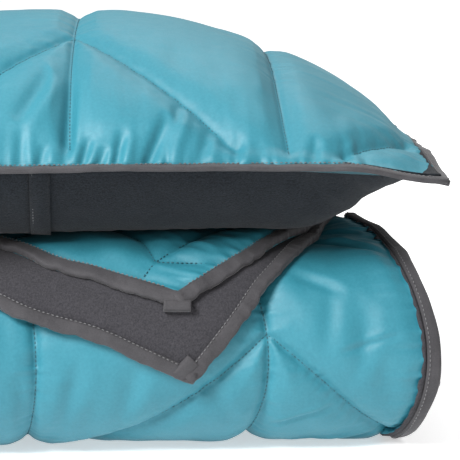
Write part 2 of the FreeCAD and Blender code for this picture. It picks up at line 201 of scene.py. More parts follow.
def tube_faces(rows, columns, flip=False):
    """Faces of a closed tube: rows of points, each row a ring."""
    return grid_faces(rows, columns, ring=True, flip=flip) + end_caps(rows, columns, flip=flip)


def sheet_faces(faces, count, rim):
    """Faces of a closed sheet: these on its first count points, and its other side on the next count."""
    both = faces + [tuple(k + count for k in face[::-1]) for face in faces]
    return both + [(b, a, a + count, b + count) for a, b in zip(rim, rim[1:] + rim[:1])]


def rim_loop(rows, columns):
    """The outer loop of a grid's points."""
    loop = list(range(columns)) + [i * columns + columns - 1 for i in range(1, rows)]
    loop += [(rows - 1) * columns + j for j in range(columns - 2, -1, -1)]
    loop += [i * columns for i in range(rows - 2, 0, -1)]
    return loop


def unit(vectors):
    """The same directions with length 1."""
    return vectors / np.linalg.norm(vectors, axis=-1, keepdims=True)


def walked(route):
    """Distance along a route at each of its points."""
    return np.concatenate([[0], np.cumsum(np.linalg.norm(np.diff(route, axis=0), axis=1))])


def get_normals(piece):
    normals = np.empty(len(piece.data.vertices) * 3)
    piece.data.vertex_normals.foreach_get("vector", normals)
    return normals.reshape(-1, 3)


def get_points(piece):
    co = np.empty(len(piece.data.vertices) * 3)
    piece.data.vertices.foreach_get("co", co)
    return co.reshape(-1, 3)


def set_points(piece, points):
    piece.data.vertices.foreach_set("co", np.asarray(points).ravel())
    piece.data.update()


def push(piece, offset):
    """Moves each point along its normal."""
    set_points(piece, get_points(piece) + get_normals(piece) * np.asarray(offset).reshape(-1, 1))


def apply_modifiers(piece):
    graph = bpy.context.evaluated_depsgraph_get()
    mesh = bpy.data.meshes.new_from_object(piece.evaluated_get(graph))
    old = piece.data
    piece.modifiers.clear()
    piece.data = mesh
    bpy.data.meshes.remove(old)


def refine(grid, axis, ring=False):
    """Doubles a grid's lines along an axis: each new one lies on a smooth curve through four old ones."""
    lines = np.moveaxis(grid, axis, 0)
    if ring:
        padded = np.concatenate([lines[-1:], lines, lines[:2]])
    else:
        padded = np.concatenate([[2 * lines[0] - lines[1]], lines, [2 * lines[-1] - lines[-2]]])
    middle = (9 * (padded[1:-2] + padded[2:-1]) - padded[:-3] - padded[3:]) / 16
    double = np.empty((len(lines) + len(middle), *lines.shape[1:]))
    double[::2] = lines
    double[1::2] = middle
    return np.moveaxis(double, 0, axis)


def refine_twice(grid, ring=False):
    """Four times as fine both ways."""
    for _ in range(2):
        grid = refine(refine(grid, 0), 1, ring)
    return grid


def take_grid(piece, rows, columns):
    """The piece's points as a grid; the piece itself is dropped."""
    grid = get_points(piece)[:rows * columns].reshape(rows, columns, 3)
    bpy.data.objects.remove(piece)
    return grid


def weigh(piece, name, weights):
    """A vertex group with these weights, rounded to twentieths."""
    group = piece.vertex_groups.new(name=name)
    levels = np.round(np.clip(weights, 0, 1) * 20).astype(int)
    for level in np.unique(levels):
        group.add([int(k) for k in np.nonzero(levels == level)[0]], level / 20, "REPLACE")


def even_out(piece, moved, times):
    """Averages each point's movement with its neighbours', so that no crease is finer than the net."""
    edges = np.empty(len(piece.data.edges) * 2, np.int32)
    piece.data.edges.foreach_get("vertices", edges)
    first, second = edges.reshape(-1, 2).T
    neighbours = np.bincount(first, minlength=len(moved)) + np.bincount(second, minlength=len(moved))
    for _ in range(times):
        total = np.zeros_like(moved)
        np.add.at(total, first, moved[second])
        np.add.at(total, second, moved[first])
        moved = 0.5 * moved + 0.5 * total / np.maximum(neighbours, 1)[:, None]
    return moved


def inflate(piece, held, calm, near, slack, cap, pressure=6.0, frames=20):
    """Cloth cut larger than its space buckles and swells between its sewn seams.
    held is 1 on the seams, calm is 0 where the cloth has its full slack, near is the distance to a
    seam or rim, slack is the share by which it is too large, and cap is how far a point may move."""
    start = get_points(piece)
    weigh(piece, "held", held)
    weigh(piece, "calm", calm)
    modifier = piece.modifiers.new("cloth", "CLOTH")
    cloth, contact, cache = modifier.settings, modifier.collision_settings, modifier.point_cache
    cloth.quality = 5
    cloth.mass = 0.12
    cloth.tension_stiffness = cloth.compression_stiffness = 9
    cloth.shear_stiffness = 4
    cloth.bending_stiffness = 0.5
    cloth.tension_damping = cloth.compression_damping = 6
    cloth.shear_damping = 4
    cloth.bending_damping = 0.4
    cloth.air_damping = 2
    cloth.vertex_group_mass = "held"
    cloth.pin_stiffness = 12
    cloth.vertex_group_shrink = "calm"
    cloth.shrink_min = -slack
    cloth.shrink_max = -slack * 0.2
    cloth.use_pressure = True
    cloth.uniform_pressure_force = pressure
    cloth.effector_weights.gravity = 0
    contact.use_collision = contact.use_self_collision = False
    cache.frame_start = 1
    cache.frame_end = frames
    for number in range(1, frames + 1):
        bpy.context.scene.frame_set(number)
    apply_modifiers(piece)
    bpy.context.scene.frame_set(1)
    piece.vertex_groups.clear()
    moved = even_out(piece, get_points(piece) - start, 3) * smooth(0.0, 0.022, near)[:, None]
    distance = np.linalg.norm(moved, axis=1, keepdims=True)
    set_points(piece, start + moved * np.minimum(1, cap / np.maximum(distance, 1e-9)))


# ================= materials =================

def material_tree(name):
    material = bpy.data.materials.new(name)
    material.use_nodes = True
    tree = material.node_tree
    tree.nodes.clear()
    out = tree.nodes.new("ShaderNodeOutputMaterial")
    shader = tree.nodes.new("ShaderNodeBsdfPrincipled")
    tree.links.new(shader.outputs[0], out.inputs[0])
    return material, tree, shader


def add_node(tree, kind, **values):
    node = tree.nodes.new("ShaderNode" + kind)
    set_inputs(node, **values)
    return node


def set_inputs(node, **values):
    """Sets a node's inputs; an underscore stands for the space in an input's name."""
    for name, value in values.items():
        node.inputs[name.replace("_", " ")].default_value = value


def link_texture(tree, place, mapping, texture):
    tree.links.new(place, mapping.inputs[0])
    tree.links.new(mapping.outputs[0], texture.inputs["Vector"])


def add_noise(tree, place, scale, detail=2.0, stretch=(1, 1, 1)):
    """Noise between 0 and 1 over a texture place, with its cells stretched."""
    mapping = add_node(tree, "Mapping", Scale=stretch)
    noise = add_node(tree, "TexNoise", Scale=scale, Detail=detail)
    link_texture(tree, place, mapping, noise)
    return noise.outputs[0]


def add_threads(tree, place, spacing, turn):
    """Parallel threads this far apart, across the flat cloth at this angle."""
    mapping = add_node(tree, "Mapping", Rotation=(0, 0, math.radians(turn)))
    wave = add_node(tree, "TexWave", Scale=math.pi / 10 / spacing, Distortion=0.6)
    link_texture(tree, place, mapping, wave)
    return wave.outputs[1]


def add_weave(tree, place, spacing):
    """Threads crossing at right angles."""
    along, across = [add_threads(tree, place, spacing, turn) for turn in (0, 90)]
    return combine(tree, "MULTIPLY", along, across)


def combine(tree, kind, first, second):
    node = tree.nodes.new("ShaderNodeMath")
    node.operation = kind
    for socket, value in zip(node.inputs, (first, second)):
        if isinstance(value, (int, float)):
            socket.default_value = value
        else:
            tree.links.new(value, socket)
    return node.outputs[0]


def mean(tree, first, second):
    return combine(tree, "MULTIPLY", combine(tree, "ADD", first, second), 0.5)


def ramp(tree, factor, low, high, stops=(0.3, 0.7)):
    node = tree.nodes.new("ShaderNodeValToRGB")
    for element, at, colour in zip(node.color_ramp.elements, stops, (low, high)):
        element.position = at
        element.color = (*colour, 1)
    tree.links.new(factor, node.inputs[0])
    return node.outputs[0]


def add_bump(tree, shader, heights):
    """Bumps in series; heights holds (height, strength, distance)."""
    normal = None
    for height, strength, distance in heights:
        bump = add_node(tree, "Bump", Strength=strength, Distance=distance)
        tree.links.new(height, bump.inputs["Height"])
        if normal:
            tree.links.new(normal, bump.inputs["Normal"])
        normal = bump.outputs[0]
    tree.links.new(normal, shader.inputs["Normal"])


def places(tree):
    """The object's own coordinates and the flat cloth's."""
    uv = tree.nodes.new("ShaderNodeUVMap")
    uv.uv_map = "flat"
    return tree.nodes.new("ShaderNodeTexCoord").outputs["Object"], uv.outputs[0]


def shell_cloth():
    """Satin-faced nylon: plain weave, fine crinkles, colour that shifts a little over the cloth."""
    material, tree, shader = material_tree("teal_nylon")
    spot, flat = places(tree)
    blotch = mean(tree, add_noise(tree, spot, 7, 3), add_noise(tree, spot, 400, 2))
    colour = ramp(tree, blotch, (0.015, 0.160, 0.216), (0.028, 0.200, 0.260))
    weave = add_weave(tree, flat, 0.0007)
    mix = tree.nodes.new("ShaderNodeMixRGB")
    mix.blend_type = "MULTIPLY"
    mix.inputs[0].default_value = 0.18
    tree.links.new(colour, mix.inputs[1])
    tree.links.new(weave, mix.inputs[2])
    tree.links.new(mix.outputs[0], shader.inputs["Base Color"])
    rough = combine(tree, "MULTIPLY", add_noise(tree, spot, 90, 2), 0.10)
    tree.links.new(combine(tree, "ADD", rough, 0.49), shader.inputs["Roughness"])
    set_inputs(shader, Specular_IOR_Level=0.42, Sheen_Weight=0.06, Sheen_Roughness=0.35,
               Sheen_Tint=(0.62, 0.92, 1.0, 1))
    crinkle = add_noise(tree, spot, 55, 3, (1, 1, 0.35))
    fine = add_noise(tree, spot, 260, 2, (1.6, 1.6, 0.7))
    add_bump(tree, shader, [(crinkle, 0.30, 0.0011), (fine, 0.22, 0.0004), (weave, 0.25, 0.0002)])
    return material


def fleece(name, low, high):
    """Brushed fleece: matte pile in small clumps, between two colours."""
    material, tree, shader = material_tree(name)
    spot, flat = places(tree)
    clumps = add_noise(tree, spot, 620, 3)
    fibres = add_noise(tree, spot, 1800, 2)
    colour = ramp(tree, mean(tree, clumps, fibres), low, high, (0.36, 0.64))
    tree.links.new(colour, shader.inputs["Base Color"])
    set_inputs(shader, Roughness=1.0, Specular_IOR_Level=0.15, Sheen_Weight=0.05, Sheen_Roughness=0.6)
    knit = add_weave(tree, flat, 0.0016)
    add_bump(tree, shader, [(clumps, 0.6, 0.0010), (fibres, 0.6, 0.0005), (knit, 0.1, 0.0002)])
    return material


def tape_cloth():
    """Knitted polyester binding: diagonal ribs, a dull sheen and paler fuzz here and there."""
    material, tree, shader = material_tree("binding_tape")
    spot, flat = places(tree)
    worn = mean(tree, add_noise(tree, spot, 45, 3), add_noise(tree, spot, 900, 2))
    colour = ramp(tree, worn, (0.020, 0.019, 0.022), (0.043, 0.041, 0.045))
    tree.links.new(colour, shader.inputs["Base Color"])
    set_inputs(shader, Roughness=0.72, Sheen_Weight=0.12, Specular_IOR_Level=0.35)
    ribs = combine(tree, "ADD", add_threads(tree, flat, 0.0009, 45), add_threads(tree, flat, 0.0009, -45))
    add_bump(tree, shader, [(add_noise(tree, spot, 160, 2), 0.5, 0.0012), (ribs, 0.35, 0.0003)])
    return material


def thread(name, low, high):
    """Twisted polyester sewing thread."""
    material, tree, shader = material_tree(name)
    strands = add_noise(tree, places(tree)[0], 1500, 1)
    tree.links.new(ramp(tree, strands, low, high), shader.inputs["Base Color"])
    set_inputs(shader, Roughness=0.55)
    add_bump(tree, shader, [(strands, 0.5, 0.0002)])
    return material


def ticking_cloth():
    """Plain white cotton of the pillow's insert."""
    material, tree, shader = material_tree("insert_ticking_cloth")
    spot, flat = places(tree)
    weave = add_weave(tree, flat, 0.0008)
    colour = ramp(tree, add_noise(tree, spot, 40, 3), (0.60, 0.60, 0.57), (0.70, 0.70, 0.68))
    tree.links.new(colour, shader.inputs["Base Color"])
    set_inputs(shader, Roughness=0.9)
    add_bump(tree, shader, [(weave, 0.4, 0.0002)])
    return material


def floor_white():
    material, _, shader = material_tree("floor_white")
    set_inputs(shader, Base_Color=(0.92, 0.92, 0.92, 1), Roughness=0.9,
               Emission_Color=(1, 1, 1, 1), Emission_Strength=0.50)
    return material


TEAL = shell_cloth()
FLEECE = fleece("charcoal_fleece", (0.018, 0.018, 0.021), (0.045, 0.043, 0.049))
# The same fleece made darker for the pillow's back: painted shade, standing in for the little light that
# reaches under the pillow.
FLEECE_PAINTED_SHADE = fleece("fleece_with_painted_shade", (0.001, 0.002, 0.0035), (0.013, 0.017, 0.022))
TAPE_CLOTH = tape_cloth()
THREAD = thread("grey_thread", (0.06, 0.06, 0.062), (0.16, 0.16, 0.165))
TEAL_THREAD = thread("teal_thread", (0.006, 0.052, 0.070), (0.016, 0.095, 0.125))
TICKING = ticking_cloth()


# ================= binding tape and stitches =================

def tape_profile(count=14, squareness=0.55):
    """Section of a folded tape: (share of its width, share of its thickness), both 0 to 1."""
    profile = []
    for k in range(count):
        c, s = math.cos(2 * math.pi * k / count), math.sin(2 * math.pi * k / count)
        profile.append((0.5 + 0.5 * math.copysign(abs(c) ** squareness, c),
                        0.5 + 0.5 * math.copysign(abs(s) ** squareness, s)))
    return profile


def tape_mesh(name, points, walk, width=TAPE, flip=False):
    """Binding tape: points holds a tape_profile at each place of the walk along the edge."""
    rows, count = points.shape[:2]
    across = [share * width for share, lift in tape_profile()]
    flat = np.stack([np.repeat(walk, count), np.tile(across, rows)], -1)
    return new_mesh(name, points, tube_faces(rows, count, flip=flip), TAPE_CLOTH, flat)


def stitch_rows(name, routes, material=THREAD, length=0.0026, gap=0.0014, radius=0.00045):
    """Rows of stitches: short thick dashes of thread along each (route, normals)."""
    points, faces = [], []
    for route, normals in routes:
        reach = walked(route)
        centres = np.arange(length, reach[-1] - length, length + gap)
        middle = along_route(route, reach, centres)
        up = along_route(normals, reach, centres)
        ends = [along_route(route, reach, centres + shift) for shift in (-length / 2, length / 2)]
        ahead = unit(ends[1] - ends[0])
        for m, f, s, n in zip(middle, ahead, np.cross(ahead, up), up):
            add_stitch(points, faces, m, f * length, s * radius, n * radius)
    return new_mesh(name, points, faces, material)


def along_route(values, reach, at):
    """The values, known at each distance in reach, at other distances."""
    return np.stack([np.interp(at, reach, column) for column in values.T], -1)


def add_stitch(points, faces, middle, ahead, aside, up):
    """One stitch: a five-sided dash with pointed ends."""
    first = len(points)
    points += [middle - ahead / 2, middle + ahead / 2]
    for share in (-0.3, 0.3):
        for k in range(5):
            angle = 2 * math.pi * k / 5
            points.append(middle + ahead * share + aside * math.cos(angle) + up * math.sin(angle))
    for k in range(5):
        a, b = first + 2 + k, first + 2 + (k + 1) % 5
        faces += [(first, b, a), (a, b, b + 5, a + 5), (first + 1, a + 5, b + 5)]


def seam_stitches(name, piece, flat, seam_u, apex_v, pitch, shown):
    """Quilting stitches along the points of the piece that lie on its seams; flat holds their (u, v)."""
    rows, columns = flat.shape[:2]
    u, v = flat[:, :, 0], flat[:, :, 1]
    long_seam, zigzag = seam_distance(u, v, seam_u, apex_v, pitch)[1:]
    co = get_points(piece).reshape(rows, columns, 3)
    normals = get_normals(piece).reshape(rows, columns, 3)
    runs = []
    for j in np.nonzero(((long_seam < ON_LINE) & shown).any(0))[0]:
        i = np.nonzero((long_seam[:, j] < ON_LINE) & shown[:, j])[0]
        runs.append((i, np.full_like(i, j)))
    level = np.round((v - apex_v - zigzag_swing(u, seam_u, pitch)) / QUILT_ROWS)
    for number in np.unique(level):
        i, j = np.nonzero((zigzag < ON_LINE) & (level == number) & shown)
        order = np.argsort(j)
        i, j = i[order], j[order]
        breaks = np.nonzero(np.diff(j) > 1)[0] + 1
        runs += list(zip(np.split(i, breaks), np.split(j, breaks)))
    routes = [(co[i, j] + normals[i, j] * 0.0004, normals[i, j]) for i, j in runs if len(i) > 12]
    return stitch_rows(name, routes, TEAL_THREAD, radius=0.0005)


# ================= the folded stack =================

Z_RUN = [HALF + PITCH * k for k in range(4)]         # middles of the four runs
BACK_CENTRE = BACK_Y - PITCH + 0.00025
INNER_BACK = (Z_RUN[0] + Z_RUN[1]) / 2
INNER_FRONT = (Z_RUN[1] + Z_RUN[2]) / 2


def line_rows(y0, y1, z, count):
    """Rows (y, z, direction y, direction z) along a straight run."""
    direction = math.copysign(1, y1 - y0)
    return [(y, z, direction, 0.0) for y in np.linspace(y0, y1, count)]


def arc_rows(cy, cz, radius, first, last, count):
    rows, way = [], math.copysign(1, last - first)
    for angle in np.radians(np.linspace(first, last, count)):
        c, s = math.cos(angle), math.sin(angle)
        rows.append((cy + radius * c, cz + radius * s, -way * s, way * c))
    return rows


def turn_y(x):
    """Where the diagonal fold crosses this x."""
    share = (np.asarray(x) - TURN_A[0]) / (TURN_B[0] - TURN_A[0])
    return TURN_A[1] + share * (TURN_B[1] - TURN_A[1])


def right_edge(s):
    """How far right the outer ply reaches: it bulges at mid height and draws in over the top."""
    bulge = 0.5 + 0.5 * np.cos(np.clip((s - WRAP_R * 1.55) / (WRAP_R * 1.6), -1, 1) * math.pi)
    return RIGHT_EDGE + EDGE_BULGE * bulge - TOP_DRAW * smooth(0.02, -0.13, s)


def top_rise(x, y):
    """The top run stands a little higher towards the diagonal fold at its right end."""
    return TOP_RISE * smooth(WRAP_Y - 0.01, WRAP_Y + 0.06, y) * smooth(0.205, 0.262, x)


def inner_edge(s):
    """The inner ply slips out past the outer one near the floor."""
    return right_edge(s) - 0.004 + 0.019 * np.exp(-((s - 0.200) / 0.040) ** 2)


def place(rows, x, n):
    """Points at offset n from the run's middle, outwards of the outer wrap."""
    rows = np.array(rows)
    y = rows[:, 0, None] + rows[:, 3, None] * n
    z = rows[:, 1, None] - rows[:, 2, None] * n
    z = z + top_rise(x, y) * (rows[:, 1, None] > Z_RUN[3] - 0.002)
    return np.stack([x + 0 * y, y, z], -1)


def ply_columns(shares, round_steps, inner_steps):
    """Columns round the doubled blanket: share of the width, bulge past the fold, offset, flat u, kind.
    Kind 0 is the outer shell, 1 the fold and inner shell, 2 the fleece between the right ends."""
    columns = [(f, 0.0, HALF, CENTRE_X + f * WIDTH, 0) for f in shares]
    for a in np.linspace(0, math.pi, round_steps)[1:-1]:
        columns.append((0.0, HALF * math.sin(a), HALF * math.cos(a), CENTRE_X - HALF * a, 1))
    for f in np.linspace(0, 1, inner_steps):
        columns.append((f, 0.0, -HALF, CENTRE_X - HALF * math.pi - f * WIDTH, 1))
    notch = 1 - 0.035 / WIDTH    # the plies part this far in from the right end
    for f, n in ((1, -0.6), (1, -0.15), (notch, -0.03), (notch, 0.03), (1, 0.15), (1, 0.6)):
        columns.append((f, 0.0, HALF * n, CENTRE_X + WIDTH + HALF * (1 - n), 2))
    return np.array(columns)


def paint_fleece(piece, kinds, rows):
    """The faces between the plies at the right end are fleece."""
    piece.data.materials.append(FLEECE)
    count = len(kinds)
    row = [1 if kinds[j] == 2 or kinds[(j + 1) % count] == 2 else 0 for j in range(count)]
    slots = row * (rows - 1)
    slots += [1] * (len(piece.data.polygons) - len(slots))
    piece.data.polygons.foreach_set("material_index", slots)


def wrap_rows():
    """Flat coordinates s of the outer wrap's rows, measured round the outside from the front's top."""
    first = math.ceil((-0.048 - WRAP_ZIGZAG) / CELL)
    last = math.floor((FRONT + 0.03 - WRAP_ZIGZAG) / CELL)
    front = WRAP_ZIGZAG + np.arange(first, last) * CELL
    under = np.linspace(front[-1] + 0.020, FRONT + BACK_CENTRE - WRAP_Y, 6)
    return np.concatenate([front, under])


def row_at(s):
    """Middle of the doubled blanket at flat coordinate s round the outer wrap."""
    if s < 0:
        return (WRAP_Y - s, Z_RUN[3], -1.0, 0.0)
    if s < FRONT:
        angle = math.pi / 2 + s / WRAP_R
        c, a = math.cos(angle), math.sin(angle)
        return (WRAP_Y + (WRAP_R - HALF) * c, WRAP_R + (WRAP_R - HALF) * a, -a, c)
    return (WRAP_Y + s - FRONT, Z_RUN[0], 1.0, 0.0)


def shell_offset(u, s, seed, depth):
    """How far the shell stands from its outline: sewn valleys and broad ripples of the batting."""
    d = seam_distance(u, s, *WRAP_SEAMS)[0]
    broad = 0.0018 * value_noise(u / 0.07, s / 0.09, 0.5, seed + 5) * smooth(0, 0.03, d)
    return seam_valley(d, depth) + broad - 0.0006


# folds on the front of the blanket: (u, s, u, s, width, depth)
WRAP_CREASES = [
    (0.215, -0.030, 0.300, 0.022, 0.0050, 0.0032), (0.225, -0.055, 0.290, -0.030, 0.0030, 0.0016),
    (0.200, 0.050, 0.245, 0.075, 0.0060, 0.0012), (0.235, 0.060, 0.215, 0.130, 0.0080, 0.0014),
    (0.262, 0.080, 0.240, 0.160, 0.0080, 0.0012), (0.228, 0.128, 0.285, 0.112, 0.0030, 0.0012),
    (0.180, 0.205, 0.232, 0.180, 0.0030, 0.0012), (0.060, 0.130, 0.045, 0.215, 0.0090, 0.0016),
    (0.010, 0.120, -0.005, 0.230, 0.0080, 0.0016), (-0.040, 0.140, -0.030, 0.220, 0.0070, 0.0014),
    (0.205, 0.252, 0.285, 0.236, 0.0050, 0.0030), (0.115, 0.150, 0.150, 0.205, 0.0080, 0.0012)]


def wrap_front_detail(u, s):
    """Small gathers beside the seams and the binding, and the folds of the front."""
    long_seam, zigzag = seam_distance(u, s, *WRAP_SEAMS)[1:]
    edge = EDGE_X - u
    beside = 0.0007 * np.exp(-long_seam / 0.012) * value_noise(s / 0.0045, u / 0.03, 0, 51)
    beside += 0.0006 * np.exp(-zigzag / 0.010) * value_noise((u + s) / 0.006, (u - s) / 0.006, 0, 52)
    gather = 0.0011 * np.exp(-edge / 0.016) * value_noise(s / 0.0050, u / 0.04, 0, 53)
    top = 0.0016 * smooth(0.04, -0.03, s) * np.exp(-edge / 0.070)
    top = top * value_noise(s / 0.0065, u / 0.045, 0, 54)
    return 1.5 * (beside + gather + top) + 1.4 * creases(u, s, WRAP_CREASES)


def outer_wrap():
    """The outside of the stack: top run, round front, bottom run and back fold in one piece."""
    s = wrap_rows()
    top_rows = 7
    back = arc_rows(BACK_CENTRE, INNER_BACK, PITCH / 2, -90, 90, 9)[1:]
    inside = line_rows(BACK_CENTRE, BACK_CENTRE - 0.03, Z_RUN[1], 3)[1:]
    rows = [row_at(v) for v in s] + back + inside
    s_back = s[-1] + (PITCH / 2 + HALF) * np.linspace(0, math.pi, 9)[1:]
    s_all = np.concatenate([s, s_back, s_back[-1] + np.linspace(0, 0.03, 3)[1:]])
    u = WRAP_SEAM_X + CELL * np.arange(math.floor((EDGE_X - WRAP_SEAM_X) / CELL),
                                       math.floor((CENTRE_X - WRAP_SEAM_X) / CELL), -1)
    columns = ply_columns([1.0] + [(v - CENTRE_X) / WIDTH for v in u] + [0.0], 8, 5)
    f, bulge, n, flat_u, kind = columns.T
    edge = right_edge(s_all) - 0.002
    x_body = CENTRE_X + f * (edge[:, None] - CENTRE_X) - bulge
    body = place(rows, x_body, n[None, :])
    # rows from the diagonal fold to the regular rows: their y depends on x
    share = np.linspace(0, 1, top_rows, endpoint=False)[:, None]
    edge_top = right_edge(-0.10) - 0.002 + (edge[0] - right_edge(-0.10) + 0.002) * share
    x_top = CENTRE_X + f * (edge_top - CENTRE_X) - bulge
    start_y = turn_y(x_top) - 0.012
    y_top = start_y + (rows[0][0] - start_y) * share
    top = np.stack([x_top, y_top, Z_RUN[3] + n + top_rise(x_top, y_top)], -1)
    s_grid = np.concatenate([WRAP_Y - y_top, s_all[:, None] + 0 * x_body])
    u_grid = flat_u + 0 * s_grid
    count, total = len(columns), len(s_grid)
    flat = np.stack([u_grid, s_grid], -1)
    piece = new_mesh("wrap_cloth", np.concatenate([top, body]), tube_faces(total, count), TEAL, flat)
    u_flat, s_flat = u_grid.ravel(), s_grid.ravel()
    outer = np.tile(kind == 0, total)
    d = seam_distance(u_flat, s_flat, *WRAP_SEAMS)[0]
    edge_gap = np.minimum(EDGE_X - u_flat, u_flat - CENTRE_X)
    loose = smooth(-0.045, -0.02, s_flat) * smooth(0.30, 0.27, s_flat) * smooth(0.004, 0.012, edge_gap)
    held = np.where(d < ON_SEAM, 1.0, 1 - 0.9 * loose * outer)
    near = np.minimum(d, np.where(edge_gap < 0, 1, edge_gap))
    inflate(piece, held, smooth(0.008, 0.060, near), near, slack=0.024, cap=0.0045)
    grid, flat = refine_twice(take_grid(piece, total, count), True), refine_twice(flat, True)
    for _ in range(2):
        kind = np.repeat(kind, 2)
        kind[1::2] = np.maximum(kind[::2], np.roll(kind[::2], -1))
    total, count = grid.shape[:2]
    piece = new_mesh("blanket_outer_wrap", grid, tube_faces(total, count), TEAL, flat)
    paint_fleece(piece, kind, total)
    u_flat, s_flat = flat.reshape(-1, 2).T
    outer, shown = np.tile(kind == 0, total), np.tile(kind < 2, total)
    offset = shell_offset(u_flat, s_flat, 11, 0.0095) - 0.0012
    dip = 0.002 * smooth(0.016, 0.0, EDGE_X - u_flat)
    detail = np.where(s_flat < FRONT + 0.03, wrap_front_detail(u_flat, s_flat), 0)
    push(piece, np.where(outer, offset - dip + detail, np.where(shown, 0.7 * offset, 0)))
    on_show = (kind == 0)[None, :] & (flat[:, :, 0] < EDGE_X - 0.004) & (flat[:, :, 1] < FRONT + 0.03)
    return piece, seam_stitches("wrap_quilting", piece, flat, WRAP_SEAM_X, WRAP_ZIGZAG, QUILT, on_show)


def behind_turn(x, y):
    """0 under the turned top run, rising to 1 behind the diagonal fold, where the stack is free."""
    return smooth(0.0, 0.07, y - turn_y(x)) * smooth(0.0, 0.02, BACK_Y - y) ** 0.5


def inner_folds():
    """The plies inside the wrap, from the back fold round the inner front fold to the free end."""
    end_y = BACK_Y - TAPE - 0.001
    middle = arc_rows(WRAP_Y, INNER_FRONT, PITCH / 2, 270, 90, 14)
    lower = line_rows(BACK_CENTRE - 0.03, WRAP_Y, Z_RUN[1], 30)[:-1]
    upper = line_rows(WRAP_Y, end_y, Z_RUN[2], 54)[1:]
    rows = lower + middle + upper
    s = INNER_START + walked(np.array(rows)[:, :2])
    columns = ply_columns(np.linspace(1, 0, 90), 12, 70)
    f, bulge, n, flat_u, kind = columns.T
    x = CENTRE_X + f * (right_edge(0.3) - 0.004 - CENTRE_X) - bulge
    points = place(rows, x[None, :], n[None, :])
    # the free end: the plies part a little and the fleece shows between them
    for y, squeeze in ((end_y, 0.55), (end_y - 0.030, 0.05)):
        points = np.concatenate([points, np.stack([x, 0 * x + y, Z_RUN[2] + n * squeeze], -1)[None]])
    s = np.concatenate([s, s[-1] + np.array([0.010, 0.040])])
    total, count = len(s), len(columns)
    s_grid, u_grid = np.repeat(s, count), np.tile(flat_u, total)
    flat = np.stack([u_grid, s_grid], -1)
    piece = new_mesh("blanket_inner_folds", points, tube_faces(total, count), TEAL, flat)
    paint_fleece(piece, kind, total)
    slots = np.zeros(len(piece.data.polygons), np.int32)
    piece.data.polygons.foreach_get("material_index", slots)
    slots[(total - 3) * count:] = 1
    piece.data.polygons.foreach_set("material_index", slots)
    offset = shell_offset(u_grid, s_grid, 23, 0.0065)
    skin = np.tile(kind < 2, total) & (s_grid < s[-2])
    co = get_points(piece)
    rise = 0.014 * behind_turn(co[:, 0], co[:, 1]) * (co[:, 2] > Z_RUN[2])
    push(piece, np.where(skin, offset - 0.0004 + rise, 0))
    return piece


def side_rows():
    """The route of the right edge through the whole run, and its flat coordinate."""
    top = line_rows(TURN_A[1] - 0.004, WRAP_Y, Z_RUN[3], 20)[:-1]
    front = arc_rows(WRAP_Y, WRAP_R, WRAP_R - HALF, 90, 270, 90)
    bottom = line_rows(WRAP_Y, BACK_CENTRE, Z_RUN[0], 50)[1:-1]
    back = arc_rows(BACK_CENTRE, INNER_BACK, PITCH / 2, -90, 90, 24)
    second = line_rows(BACK_CENTRE, WRAP_Y, Z_RUN[1], 50)[1:-1]
    inner = arc_rows(WRAP_Y, INNER_FRONT, PITCH / 2, 270, 90, 24)
    third = line_rows(WRAP_Y, BACK_Y, Z_RUN[2], 60)[1:]
    rows = top + front + bottom + back + second + inner + third
    s = [WRAP_Y - row[0] for row in top] + list(np.linspace(0, FRONT, len(front)))
    s += [FRONT + 0.03] * (len(rows) - len(s))
    return rows, np.array(s)


def side_tape(name, side):
    """Binding tape on the right edges of the outer (side 1) or inner (side -1) plies."""
    rows, s = side_rows()
    edge = (right_edge(s) if side > 0 else inner_edge(s)) - 0.0015
    walk = np.arange(len(rows)) * 0.003
    profile = tape_profile()
    ruffle = 0.0010 * value_noise(walk / 0.009, side, 0, 61)
    ruffle = ruffle * (0.35 + 0.65 * smooth(0.075, 0.03, np.abs(s - 0.03)))
    wave = 0.0012 * value_noise(walk / 0.035, side, 0, 62)
    x = np.stack([edge + a * TAPE + wave * a for a, b in profile], -1)
    lift = [HALF - 0.0100 + b * TAPE_HEIGHT + ruffle * b * (0.4 + a) for a, b in profile]
    n = side * np.stack(lift, -1)
    return tape_mesh(name, place(rows, x, n), walk, flip=side > 0)


def side_stitches():
    """Stitches near the inner edge of the outer ply's tape, over the top and down the front."""
    rows, s = side_rows()
    shown = s < FRONT * 0.98
    rows, s = np.array(rows)[shown], s[shown]
    n = HALF + 0.0001
    route = place(rows, (right_edge(s) + 0.0012)[:, None], np.full((len(rows), 1), n))[:, 0]
    normals = np.stack([0 * s, rows[:, 3], -rows[:, 2]], -1)
    return stitch_rows("side_binding_stitches", [(route, normals)])


def free_end_tape(name, side):
    """Binding tape across the free end at the back, on its upper (side 1) or lower (side -1) ply."""
    x = np.linspace(CENTRE_X - HALF * 0.6, right_edge(0.3) - 0.004, 150)
    ruffle = 0.0009 * value_noise(x / 0.010, side, 0, 71)
    behind = 0.010 * behind_turn(x, np.full_like(x, BACK_Y - 0.022)) * (side > 0)
    points = []
    for a, b in tape_profile():
        y = BACK_Y - TAPE + a * TAPE + ruffle
        z = Z_RUN[2] + side * (HALF - 0.0105 + b * TAPE_HEIGHT) + behind + ruffle * b
        points.append(np.stack([x, y, z], -1))
    return tape_mesh(name, np.stack(points, 1), x, flip=side > 0)


# ================= the turned corner =================

def over_stack(x, y, height):
    """A point of flat cloth laid over the stack and down its front, this high above its middle."""
    x, y, height = np.broadcast_arrays(*[np.asarray(value, float) for value in (x, y, height)])
    arc = np.maximum(WRAP_Y - y, 0)
    reach = WRAP_R + 0.005
    steepest = math.radians(88)
    angle = np.minimum(arc / reach, steepest)
    drop = np.maximum(arc - reach * steepest, 0)
    out_y = np.where(y > WRAP_Y, y, WRAP_Y - height * np.sin(angle))
    out_z = np.where(y > WRAP_Y, WRAP_R + height, WRAP_R + height * np.cos(angle) - drop)
    return np.stack([x, out_y, out_z + top_rise(x, y)], -1)


